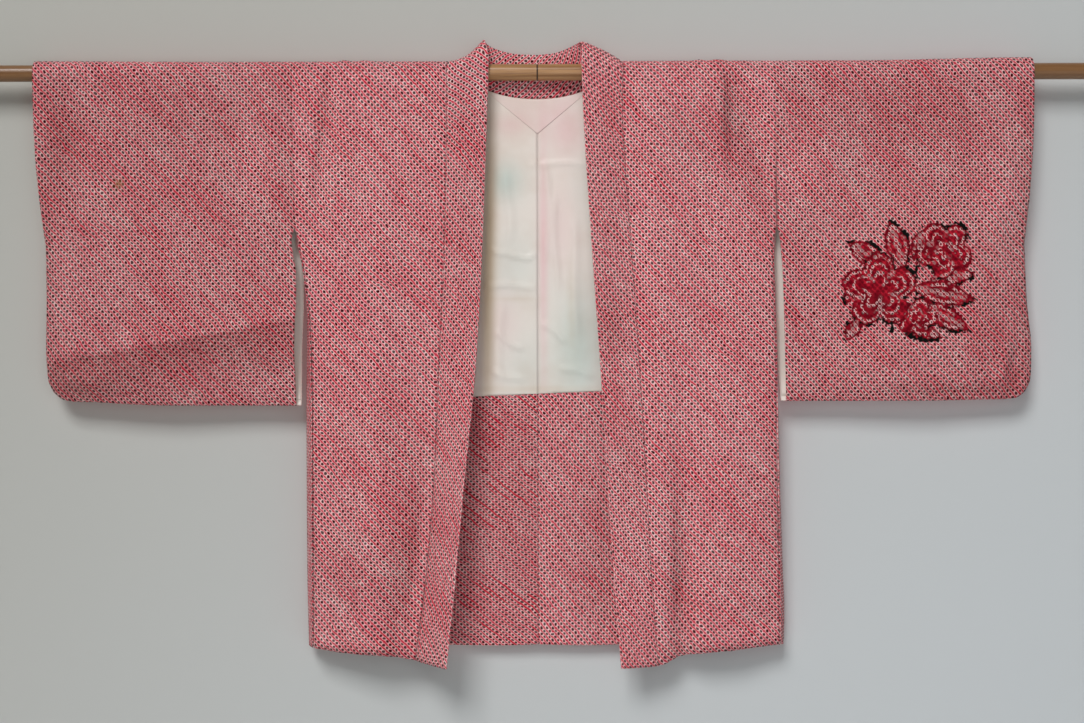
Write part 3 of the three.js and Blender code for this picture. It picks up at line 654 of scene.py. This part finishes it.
def makeWood():
    # grain is noise drawn out along the rod; the ends are painted darker as shade, and a dark line marks the
    # joint
    material, t = newMaterial("varnishedWood")
    place = t.add("ShaderNodeTexCoord").outputs["Object"]
    grain = t.noise(t.stretched(place, (6.0, 260.0, 260.0)), 1.0, 4.0, 0.6)
    fine = t.noise(t.stretched(place, (40.0, 900.0, 900.0)), 1.0)
    along = t.calc("ABSOLUTE", t.add("ShaderNodeSeparateXYZ", {0: place}).outputs[0])
    half = rodWood["jointHalf"]
    shares = {"dark": t.step(grain, 0.35, 0.7), "pores": t.times(t.step(fine, 0.55, 0.75), 0.45),
              "shadedEnds": t.times(t.step(along, 0.3, 0.62), 0.7), "joint": t.step(along, half * 1.4, half * 0.6)}
    colour = srgb(*rodWood["light"])
    for key, share in shares.items():
        colour = t.blend(share, colour, srgb(*rodWood[key]))
    t.finish(colour, rodWood["finish"], t.plus(grain, fine), 0.25, 0.0003)
    return material


shiboriMaterial, liningMaterial, woodMaterial = makeShibori(), makeLining(), makeWood()
print("materials made")

# body panels


def bodyTrim(side):
    # front between collar seam and side, shoulder between neck and armhole, back between centre seam and side
    def trim(x, way):
        drop, turn = dropAndTurn(way)
        frontInner = readTable(side["collarFront"], drop, 1) + collarGap(side, drop)
        wrapInner = (side["neckHalfWidth"] + side["shoulderShift"] * np.sin(turn / 2) + np.sin(turn)
                     + mixed(collarGap(side, np.zeros(1)), 0.3, 1 - turn / math.pi))
        inner = np.where(way < 0, frontInner, np.where(way > wrapArc, 0.05, wrapInner))
        outer = np.where(way < 0, edgeX(side, "frontSide", drop), edgeX(side, "backSide", drop)) - 0.06
        cutX = np.clip(x, inner, outer)
        neck = wrapArc + neckSeamDrop(side, cutX) + 0.3
        low = np.where(way > wrapArc, neck, -readTable(side["hem"], cutX, 1))
        high = wrapArc + backHem(cutX)
        return cutX, np.clip(way, low, high)
    return trim


def makeBody(side):
    # the front's painted shade follows its patches, and the back's is even
    name = side["name"]
    piece, x, way = shellSheet("bodyShell_" + name, side, lambda x, way: bodySurface(side, x, way),
                               bodyTrim(side), np.arange(0, 85), np.arange(-192, 199))
    paint(piece, "dye", np.where(way < 0, paintedShadeOf("body_" + name, x, way), 0.2))
    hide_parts("body_" + name)


for side in sides:
    makeBody(side)
print("body panels made")

# sleeves

sleeveLiningMesh = {"step": 7.7, "cut": {"sewn": 7, "cuff": 3, "inner": 1.2}}
silkRepeat = 8
stain = {"x": 536.6, "z": -144.5, "wide": 5.5}


def cuffEdge(side, drop):
    # the open cuff bows out a little, and the closed edge below it follows its table
    share = np.clip(drop / cloth["cuffDrop"], 0, 1)
    cuff = mixed(side["sleeveTop"][1], side["sleeveOuter"][0][1], share)
    cuff = cuff + side["cuffBow"] * np.sin(math.pi * share)
    return np.where(drop < cloth["cuffDrop"], cuff, readTable(side["sleeveOuter"], drop))


def sleeveSurface(side, x, way):
    # the layers stand apart by the rod and meet at the sewn edge: edge + (apart - edge) * (1 - (1 - t)^2)^0.8
    drop, turn = dropAndTurn(way)
    front, back = way < 0, way > wrapArc
    apart = cloth["radius"] - 1.5 * eased(0, 300, drop)
    fromBottom = readTable(side["sleeveBottom"], x) - drop
    fromSide = cuffEdge(side, drop) - x + 0.4 * np.maximum(0, cloth["cuffDrop"] - drop)
    fromSeam = np.minimum(fromBottom, fromSide)
    t = np.clip(fromSeam / 75, 0, 1)
    gap = mixed(0.95, apart, (1 - (1 - t) ** 2) ** 0.8)
    atCuff = np.clip((x - 400) / (side["sleeveTop"][1] - 400), 0, 1)
    lift = side["cuffLift"] * eased(0, 1, atCuff)
    fold = foldDepth(side["sleeveFolds"], x, -drop) * np.where(front, cloth["foldScale"], 0.35)
    gap = gap - fold * eased(0, 30, fromSeam) * eased(0, 40, drop)
    sway = 2.5 * np.sin(x / 45) * eased(150, 420, drop)
    y = np.where(front, sway - gap, np.where(back, sway + gap, cloth["radius"] * np.cos(turn)))
    z = np.where(front | back, -drop, (cloth["radius"] + lift) * np.sin(turn))
    return np.stack([x + 0 * way, y, z], -1)


def sleeveTrim(side, sewn=0, cuff=0, inner=0):
    # armhole seam or open inner edge, the cuff or closed side, and the closed bottom with its rounded corner
    cornerX, cornerDrop = side["sleeveBottom"][-1]

    def trim(x, way):
        drop, _ = dropAndTurn(way)
        spread = np.where(way > wrapArc, side["layerSpread"] * eased(armpitDrop, armpitDrop + 50, drop), 0)
        near = readTable(side["innerEdge"], drop) - spread
        near = np.where(drop < armpitDrop, armholeX(side, drop) + 0.06, near)
        far = np.where(drop < cornerDrop, cuffEdge(side, drop), cornerX)
        far = far - np.where(drop < cloth["cuffDrop"] - 4, cuff, sewn)
        cutX = np.clip(x, near + inner, far)
        deep = readTable(side["sleeveBottom"], cutX + np.where(cutX > cornerX - sewn - 60, sewn, 0)) - sewn
        return cutX, np.clip(way, -deep, wrapArc + deep)
    return trim


def makeSleeve(side):
    # the front's painted shade follows its patches, and the back's is even; the right has the spray, the left a
    # stain
    name = side["name"]
    piece, x, way = shellSheet("sleeveShell_" + name, side, lambda x, way: sleeveSurface(side, x, way),
                               sleeveTrim(side), np.arange(76, 172), np.arange(-109, 120))
    paint(piece, "dye", np.where(way < 0, paintedShadeOf("sleeve_" + name, x, way), 0.3))
    if side is right:
        paintSpray(piece, x, way)
    else:
        spot = np.exp(-(((x - stain["x"]) ** 2 + (way - stain["z"]) ** 2) / stain["wide"] ** 2))
        paint(piece, "stain", np.where(way < 0, spot, 0))
    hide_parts("sleeve_" + name)


def makeSleeveLining(side):
    # the same fall as the shell, laid further in
    step = sleeveLiningMesh["step"]
    x, way, triangles, _, _ = trimmedLattice(np.arange(38, 86), np.arange(-56, 62),
                                             sleeveTrim(side, **sleeveLiningMesh["cut"]), step, step)
    points, normals = laidOn(lambda x, way: sleeveSurface(side, x, way), x, way)
    half = cloth["liningThick"] / 2
    uv = np.stack([side["sign"] * x / silkRepeat, way / silkRepeat], -1)
    piece = sidePiece("sleeveLining_" + side["name"], side, points - normals * cloth["sleeveInset"], normals,
                      triangles, half, half, uv, liningMaterial)
    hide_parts("sleeve_lining_" + side["name"])


# flower spray on the right sleeve: blossoms, leaves and a stem, in dyed dots

spray = {
    # blossom: x, z, reach, turn
    "blossoms": ((438, -283, 49, 20), (521, -231, 38, 50), (486, -318, 27, 0)),
    # leaf: root x, root z, tip x, tip z, half width
    "leaves": ((478, -278, 560, -296, 15), (492, -300, 552, -334, 14), (470, -256, 450, -194, 15),
        (414, -318, 396, -346, 10), (486, -252, 492, -204, 12), (446, -252, 398, -222, 14),
        (452, -322, 520, -344, 11), (500, -270, 562, -262, 11), (412, -262, 394, -300, 10)),
    # points that the stem runs through
    "stem": ((500, -216), (493, -240), (482, -262), (468, -300), (452, -338)),
    "stemHalf": 2.2,
}


def paintSpray(piece, x, way):
    # a blossom's outline is reach * (0.62 + 0.38 |cos 2.5 a|^0.7) at angle a, a leaf's half * (1 - along^2)
    insets, veins, darks = [], [], []
    for midX, midZ, reach, turn in spray["blossoms"]:
        away = np.hypot(x - midX, way - midZ)
        angle = np.arctan2(way - midZ, x - midX) - math.radians(turn)
        lobe = np.abs(np.cos(2.5 * angle))
        outline = reach * (0.62 + 0.38 * lobe**0.7)
        insets.append((outline - away) * 0.9)
        veins.append(np.where(away < outline * 0.9, eased(0.2, 0.08, lobe) * eased(6, 10, away), 0))
        darks.append(0.5 + 0.5 * np.cos(angle * 2 + midX) + 0.3 * np.cos(angle * 7 + midZ))
    for x0, z0, x1, z1, half in spray["leaves"]:
        long = math.hypot(x1 - x0, z1 - z0) / 2
        c, s = (x1 - x0) / long / 2, (z1 - z0) / long / 2
        fromX, fromZ = x - (x0 + x1) / 2, way - (z0 + z1) / 2
        along = (fromX * c + fromZ * s) / long
        across = fromZ * c - fromX * s
        insets.append(half * (1 - along**2) - np.abs(across))
        veins.append(eased(3.2, 1.6, np.abs(across)) * (np.abs(along) < 0.75))
        darks.append(0.5 + 0.6 * np.sign(across) * (1 if x0 % 2 else -1) + 0.4 * np.cos(along * 6))
    insets, veins, darks = np.stack(insets), np.stack(veins), np.stack(darks)
    inside = insets > -1  # the earlier shape lies on top
    first = np.where(inside.any(0), inside.argmax(0), insets.argmax(0))[None]
    for name, values in (("inset", np.maximum(insets, -20) + outsideSpray), ("vein", veins), ("dark", darks)):
        paint(piece, name, np.where(way < 0, np.take_along_axis(values, first, 0)[0], 0))
    stem = np.array(spray["stem"], float)
    line = np.zeros(len(x))
    for (x0, z0), (x1, z1) in zip(stem[:-1], stem[1:]):
        share = ((x - x0) * (x1 - x0) + (way - z0) * (z1 - z0)) / ((x1 - x0) ** 2 + (z1 - z0) ** 2)
        share = np.clip(share, 0, 1)
        gap = np.hypot(x - mixed(x0, x1, share), way - mixed(z0, z1, share))
        line = np.maximum(line, eased(2 * spray["stemHalf"], 0, gap))
    paint(piece, "stem", np.where((way < 0) & (insets.max(0) < 0), line, 0))


for side in sides:
    makeSleeve(side)
    makeSleeveLining(side)
print("sleeves made")

# back lining, hem facing and neck patch

# half a dot across and down; the rows lean differently on the two sides
facingDots = {"left": (4.2, 3.25), "right": (3.7, 4.15)}

liningCreases = (  # from x, z to x, z, half width, rise, in the picture's own left and right
    (0, -85, -1, -415, 1.6, -0.2), (12, -120, 13, -235, 3.0, 0.9), (22, -165, 24, -281, 4.0, 0.9),
    (-8, -116, 61, -118, 3.0, 0.8), (-59, -227, -30, -238, 3.5, 0.9), (-30, -238, -5, -236, 3.5, 0.9),
    (-70, -275, -6, -276, 3.0, 0.8), (-55, -337, -21, -356, 3.5, 0.9), (6, -324, 37, -346, 3.5, 0.9),
    (-40, -130, -36, -210, 5.0, 0.7), (45, -190, 50, -330, 6.0, 0.9), (-48, -300, -52, -400, 6.0, 0.8),
    (30, -380, 70, -392, 4.0, 0.8), (-60, -385, -20, -398, 4.0, 0.7), (110, -160, 118, -390, 7.0, 1.0),
    (-120, -140, -112, -360, 7.0, 1.0), (180, -120, 190, -330, 7.0, 0.9), (-190, -180, -184, -380, 7.0, 0.9),
    (240, -200, 252, -370, 6.0, 0.8), (-250, -120, -244, -300, 6.0, 0.8),
)
liningTints = {  # x, z, half width, half height, strength
    "cool": ((-44, -139, 26, 26, 0.9), (52, -360, 34, 80, 0.9), (-30, -250, 40, 50, 0.4),
        (150, -250, 60, 90, 0.4), (-20, -380, 30, 50, 0.4), (60, -150, 20, 60, 0.3), (-170, -300, 60, 80, 0.4)),
    "rose": ((36, -72, 26, 34, 0.7), (7, -230, 6, 150, 0.8), (-34, -66, 22, 14, 0.5), (-45, -320, 22, 40, 0.3),
        (30, -200, 22, 60, 0.4), (210, -330, 50, 60, 0.35), (-220, -160, 50, 60, 0.35)),
    # tan: the long strips at x -62 and -66 are the left collar's painted shadow, partly stain; the thin lines
    # darken the lining along its foot and in two short lines
    "tan": ((-62, -170, 9, 140, 0.9), (-66, -330, 8, 120, 0.7), (0, -409, 90, 4, 0.3), (-30, -292, 26, 3, 0.25),
        (44, -300, 5, 60, 0.2)),
}


def creaseRise(x, z):
    # a ridge along each crease, rise * exp(-(distance / half width)^2), that fades at both ends
    rise = np.zeros(len(x))
    for x0, z0, x1, z1, wide, high in liningCreases:
        long = math.hypot(x1 - x0, z1 - z0)
        share = ((x - x0) * (x1 - x0) + (z - z0) * (z1 - z0)) / long**2
        away = ((x - x0) * (z1 - z0) - (z - z0) * (x1 - x0)) / long
        bend = 2.0 * np.sin(share * 5 + x0)
        ridge = 2.4 * high * np.exp(-(((away + bend) / wide) ** 2))
        rise += ridge * eased(-0.15, 0.12, share) * eased(1.15, 0.88, share)
    return rise + 0.25 * np.sin(x / 9 + 2 * np.sin(z / 70)) * eased(-60, -160, z)


def tintOf(kind, x, z):
    # sum of strong * exp(-(x / half width)^2 - (z / half height)^2)
    return sum(strong * np.exp(-(((x - atX) / wide) ** 2) - ((z - atZ) / high) ** 2)
               for atX, atZ, wide, high, strong in liningTints[kind])


def backLayer(side, name, top, bottom, inset, thick, steps, rows, columns, material, dotted):
    # a layer laid inside the back panel between two of its levels; its relief is on the side that shows
    def trim(x, way):
        cutX = np.clip(x, 0.01, edgeX(side, "backSide", way) - cloth["edgeInset"])
        return cutX, np.clip(way, top(cutX), bottom(cutX))

    x, drop, triangles, dots, cut = trimmedLattice(columns, rows, trim, *steps)
    points, normals = laidOn(lambda x, way: bodySurface(side, x, wrapArc + way), x, drop)
    worldX = side["sign"] * x
    points = points - normals * inset
    rise = 0
    if dotted:
        rise = dotRelief(dots)
    else:
        points = points - normals * np.maximum(creaseRise(worldX, -drop) * (1 - cut), -0.9)[:, None]
    uv = np.stack([worldX / steps[0] / 2, -drop / steps[1] / 2], -1)
    half = thick / 2
    piece = sidePiece(name, side, points, -normals, triangles[:, ::-1], half + rise, half, uv, material)
    if dotted:
        # painted shade on the facing, darker on the left
        paint(piece, "dye", paintedShadeOf("facing_" + side["name"], worldX, -drop))
        paint(piece, "stripe", (side is left) + 0 * x)
    else:
        for kind in liningTints:
            paint(piece, kind, tintOf(kind, worldX, -drop))
    return piece


def makeBackLining(side):
    # from the neck seam to the facing
    piece = backLayer(side, "backLining_" + side["name"], lambda x: neckSeamDrop(side, x) + 0.5,
                      lambda x: facingTop(side, x) - 0.1, cloth["liningInset"], cloth["liningThick"],
                      (3.6, 3.6), np.arange(0, 122), np.arange(0, 90), liningMaterial, False)
    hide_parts("back_lining_" + side["name"])


def makeHemFacing(side):
    # from the lining to the hem
    piece = backLayer(side, "hemFacing_" + side["name"], lambda x: facingTop(side, x) + 0.1,
                      lambda x: backHem(x) - 0.5, cloth["facingInset"], cloth["facingThick"],
                      facingDots[side["name"]], np.arange(90, 250), np.arange(0, 95), shiboriMaterial, True)
    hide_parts("hem_facing_" + side["name"])


for side in sides:
    makeBackLining(side)
    makeHemFacing(side)

neckPatch = {"half": 66, "tip": 78, "wall": 0.2, "columns": 45, "rows": 22,
             "flat": (0.132, 0.058), "area": 0.003}


def makeNeckPatch():
    # three-cornered: from the neck seam down to straight lines between the tip and the two upper corners
    half, tip, columns, rows = (neckPatch[key] for key in ("half", "tip", "columns", "rows"))
    x = np.linspace(-half, half, columns)[:, None] + np.zeros((1, rows))
    down = np.linspace(0, 1, rows)[None]
    out = np.abs(x)
    depth, drop = np.zeros_like(x), np.zeros_like(x)
    for side in sides:
        mine = x * side["sign"] >= 0
        top = neckSeamDrop(side, out) + 1.2
        bottom = np.maximum(top + 1.5, mixed(tip, neckSeamDrop(side, half) + 3, out / half))
        sideDrop = mixed(top, bottom, down)
        drop = np.where(mine, sideDrop, drop)
        depth = np.where(mine, backDepth(side, out, sideDrop), depth)
    points = np.stack([x, depth, -drop], -1)
    normals = gridNormals(points)  # towards the front
    flat = (points + normals * cloth["patchInset"]).reshape(-1, 3)
    uv = np.stack([x, -drop], -1).reshape(-1, 2) / silkRepeat
    wall = neckPatch["wall"]
    piece = wallMesh("neckPatch", flat, normals.reshape(-1, 3), gridTriangles(columns, rows), wall, wall, uv,
                     liningMaterial)
    for kind in liningTints:
        paint(piece, kind, tintOf(kind, flat[:, 0], flat[:, 2]) + (0.3 if kind == "rose" else 0))
    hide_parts("neck_patch")


makeNeckPatch()
print("lining, facing and patch made")

# collar: one band, folded lengthways, from the left hem round the neck to the right hem

collar = {"across": 15, "seamHalf": 0.35, "midHalf": 1.2, "foldRadius": 1.05,
          "flat": (0.112, 1.8), "area": 0.19}


def collarHalf(side):
    # seam and fold points from the centre back round the neck, over the rod and down the front
    half = side["neckHalfWidth"]
    x = np.linspace(0, 1, 26)[:-1] * half
    share = 1 - (x / half) ** (2.3 / 2)
    neck = np.stack([x, cloth["radius"] + eased(0, 0.3, share), -neckSeamDrop(side, x)], -1)
    way = 0.5 * x / half
    turn = np.linspace(0, math.pi, 13)[:-1]
    over = np.stack([half + side["shoulderShift"] * np.sin(turn / 2), cloth["radius"] * np.cos(turn),
                     cloth["radius"] * np.sin(turn)], -1)
    way = np.append(way, 0.5 + 0.5 * turn / math.pi)
    fold = np.stack([readTable(side["neckFold"], way, column) for column in (1, 2, 3)], -1)
    dip = side["collarDip"] * eased(0.5, 0.65, way) * (1 - eased(0.8, 1, way))
    foot = side["collarFront"][-1][0]
    level = np.linspace(0, foot, int(foot / 4) + 1)
    table = side["collarFront"]
    seamX, foldX, foldDrop, foldOut = (readTable(table, level, column) for column in range(1, 5))
    frontSeam = np.stack([seamX, -frontDepth(side, seamX, level), -level], -1)
    frontFold = np.stack([foldX, -(cloth["radius"] + foldOut), -foldDrop], -1)
    return (np.concatenate([neck, over, frontSeam]), np.concatenate([fold, frontFold]),
            np.append(dip, np.zeros(len(level))))


def makeCollar():
    # straight from seam to fold at every step, as a front and a back face joined by a half circle at the fold
    leftSeam, leftFold, leftDip = collarHalf(left)
    rightSeam, rightFold, rightDip = collarHalf(right)
    mirror = np.array([-1, 1, 1])
    seam = np.concatenate([(leftSeam * mirror)[:0:-1], rightSeam])
    fold = np.concatenate([(leftFold * mirror)[:0:-1], rightFold])
    dip = np.append(leftDip[:0:-1], rightDip)
    share = np.arange(collar["across"] + 1) / collar["across"]
    middle = mixed(seam[:, None], fold[:, None], share[None, :, None])
    middle[..., 2] -= dip[:, None] * np.sin(math.pi * share)
    out = gridNormals(middle)  # across cross along: outwards
    toFold = middle[:, -1] - middle[:, -2]
    toFold /= np.linalg.norm(toFold, axis=-1, keepdims=True)
    stand = collar["seamHalf"] + (collar["midHalf"] - collar["seamHalf"]) * eased(0, 0.3, share)
    stand = np.minimum(stand, mixed(collar["midHalf"], collar["foldRadius"], eased(0.7, 1, share)))
    short = middle.copy()
    short[:, -1] -= toFold * collar["foldRadius"]
    front = short + out * stand[None, :, None]
    back = short - out * stand[None, :, None]
    turns = np.linspace(0, math.pi, 6)[1:-1]  # round the fold
    arc = (short[:, -1:] + collar["foldRadius"] * (np.sin(turns)[None, :, None] * toFold[:, None]
                                                   + np.cos(turns)[None, :, None] * out[:, -1:]))
    points = np.concatenate([front, arc, back[:, ::-1]], 1)
    normals = gridNormals(points)
    rows, columns = points.shape[:2]
    # the dots are spaced by the band's own length and width
    along = np.append(0, np.cumsum(np.linalg.norm(np.diff(middle[:, 7], axis=0), axis=-1)))
    acrossWay = np.concatenate([share * 55, 55 + np.array([0.6, 1.3, 2.0, 2.6]), 58.2 + share * 55])
    uv = np.stack(np.meshgrid(acrossWay / cloth["dotAcross"], along / cloth["dotDown"]), -1)
    dots = gridDots(rows, columns)
    dots[:, collar["across"]:collar["across"] + 6] = False  # none on the fold
    half = cloth["bandThick"] / 2
    rise = dotRelief(dots.reshape(-1))
    piece = wallMesh("collarBand", points.reshape(-1, 3), normals.reshape(-1, 3),
                     gridTriangles(rows, columns), half + rise * 0.8, half, uv.reshape(-1, 2),
                     shiboriMaterial)
    # painted shade on the collar band
    paint(piece, "dye", paintedShadeOf("collar", points[..., 0].reshape(-1), points[..., 2].reshape(-1)))
    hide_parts("collar")


makeCollar()
print("collar made")

# gussets between the fronts and the back

gusset = {"stand": 1.1, "top": 0.3, "rows": 130, "columns": 7, "flat": (0.034, 0.53), "area": 0.0155}


def makeGusset(side):
    # straight across from the front's edge to the back's, bulging as half a sine
    foot = side["hem"][-1][1]
    share = np.linspace(gusset["top"], 1, gusset["rows"])[:, None]
    across = np.linspace(0, 1, gusset["columns"])[None]
    frontDrop, backDrop = share * foot, share * hemDrop
    frontX, backX = edgeX(side, "frontSide", frontDrop), edgeX(side, "backSide", backDrop)
    x = mixed(frontX, backX, across) + gusset["stand"] + cloth["gussetBulge"] * np.sin(math.pi * across)
    y = mixed(-frontDepth(side, frontX, frontDrop), backDepth(side, backX, backDrop), across)
    points = np.stack([x, y, -mixed(frontDrop, backDrop, across)], -1)
    normals = -gridNormals(points)  # outwards, away from the body
    shape = points.shape[:2]
    uv = np.stack([y / cloth["dotAcross"], points[..., 2] / cloth["dotDown"]], -1).reshape(-1, 2)
    half = cloth["gussetThick"] / 2
    outer = half + dotRelief(gridDots(*shape).reshape(-1)) * 0.6
    piece = sidePiece("gussetStrip_" + side["name"], side, points.reshape(-1, 3), normals.reshape(-1, 3),
                      gridTriangles(*shape)[:, ::-1], outer, half, uv, shiboriMaterial)
    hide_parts("gusset_" + side["name"])


for side in sides:
    makeGusset(side)
print("gussets made")

# rod

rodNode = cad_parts["rod"]
rodNode.data.materials.clear()
rodNode.data.materials.append(woodMaterial)

# stage: a pale wall close behind, a pale floor below, soft light from the upper left; the paint brightens
# towards the lower right as painted light

stage = {
    "wall": 34,
    "floor": -1250,
    "paint": ((188, 187, 180), (184, 184, 179)),
    "paintedLightLowerRight": (204, 208, 210),
    "finish": {"Roughness": 0.95, "Specular IOR Level": 0.1},
    "lights": {
        "key": {"place": (-2.4, -7.2, 6.0), "size": 3.6, "power": 610},
        "soft": {"place": (0.05, -1.35, -0.28), "size": 0.6, "power": 2.4},
        "fill": {"place": (1.3, -2.2, -1.2), "size": 2.0, "power": 4},
        "behind": {"place": (0.6, 2.6, 0.9), "size": 2.0, "power": 60},
    },
    "aim": (0.0, 0.0, -0.35),
    "sky": {0: (1.0, 1.0, 0.99, 1), 1: 0.13},
}


def makePlane(name, corners, material):
    mesh = bpy.data.meshes.new(name)
    mesh.from_pydata([[value / 1000 for value in corner] for corner in corners], [], [(0, 1, 2, 3)])
    mesh.materials.append(material)
    piece = bpy.data.objects.new(name, mesh)
    link(piece)


def makeStage():
    # the wall lets light through from behind and doesn't show from there, so that the back can be seen
    paper, t = newMaterial("palePaint")
    tree = paper.node_tree
    place = t.add("ShaderNodeTexCoord").outputs["Object"]
    colour = t.blend(t.noise(place, 1.4), *(srgb(*tone) for tone in stage["paint"]))
    split = t.add("ShaderNodeSeparateXYZ", {0: place})
    paintedLightSlope = t.minus(split.outputs[0], split.outputs[2])
    # painted light: the paint brightens towards the lower right, on the wall and on the floor
    t.finish(t.blend(t.step(paintedLightSlope, -0.8, 1.6), colour, srgb(*stage["paintedLightLowerRight"])), stage["finish"])
    floorPaint = paper.copy()
    floorPaint.name = "paleFloor"
    seeThrough = t.add("ShaderNodeBsdfTransparent").outputs[0]
    back = t.add("ShaderNodeNewGeometry").outputs["Backfacing"]
    ray = t.add("ShaderNodeLightPath").outputs["Is Shadow Ray"]
    choose = t.add("ShaderNodeMixShader", {0: t.most(back, ray), 1: t.shader.outputs[0], 2: seeThrough})
    tree.links.new(choose.outputs[0], tree.nodes["Material Output"].inputs["Surface"])
    y, z = stage["wall"], stage["floor"]
    makePlane("wall", ((-6000, y, z), (6000, y, z), (6000, y, 4000), (-6000, y, 4000)), paper)
    makePlane("floor", ((-6000, -7000, z), (6000, -7000, z), (6000, 6000, z), (-6000, 6000, z)), floorPaint)


def makeLight(name, place, size, power):
    # turned so that it faces the aim
    data = bpy.data.lights.new(name, "AREA")
    data.size, data.energy = size, power
    light = bpy.data.objects.new(name, data)
    light.location = place
    aim = np.array(stage["aim"]) - np.array(place)
    tilt = math.acos(aim[2] / np.linalg.norm(aim)) - math.pi
    light.rotation_euler = (tilt, 0, math.atan2(aim[1], aim[0]) + math.pi / 2)
    light.visible_camera = False
    link(light)


makeStage()
for name, light in stage["lights"].items():
    makeLight(name, **light)
world = bpy.data.worlds.new("sky")
world.use_nodes = True
for socket, value in stage["sky"].items():
    world.node_tree.nodes["Background"].inputs[socket].default_value = value
bpy.context.scene.world = world
print("stage and lights made")
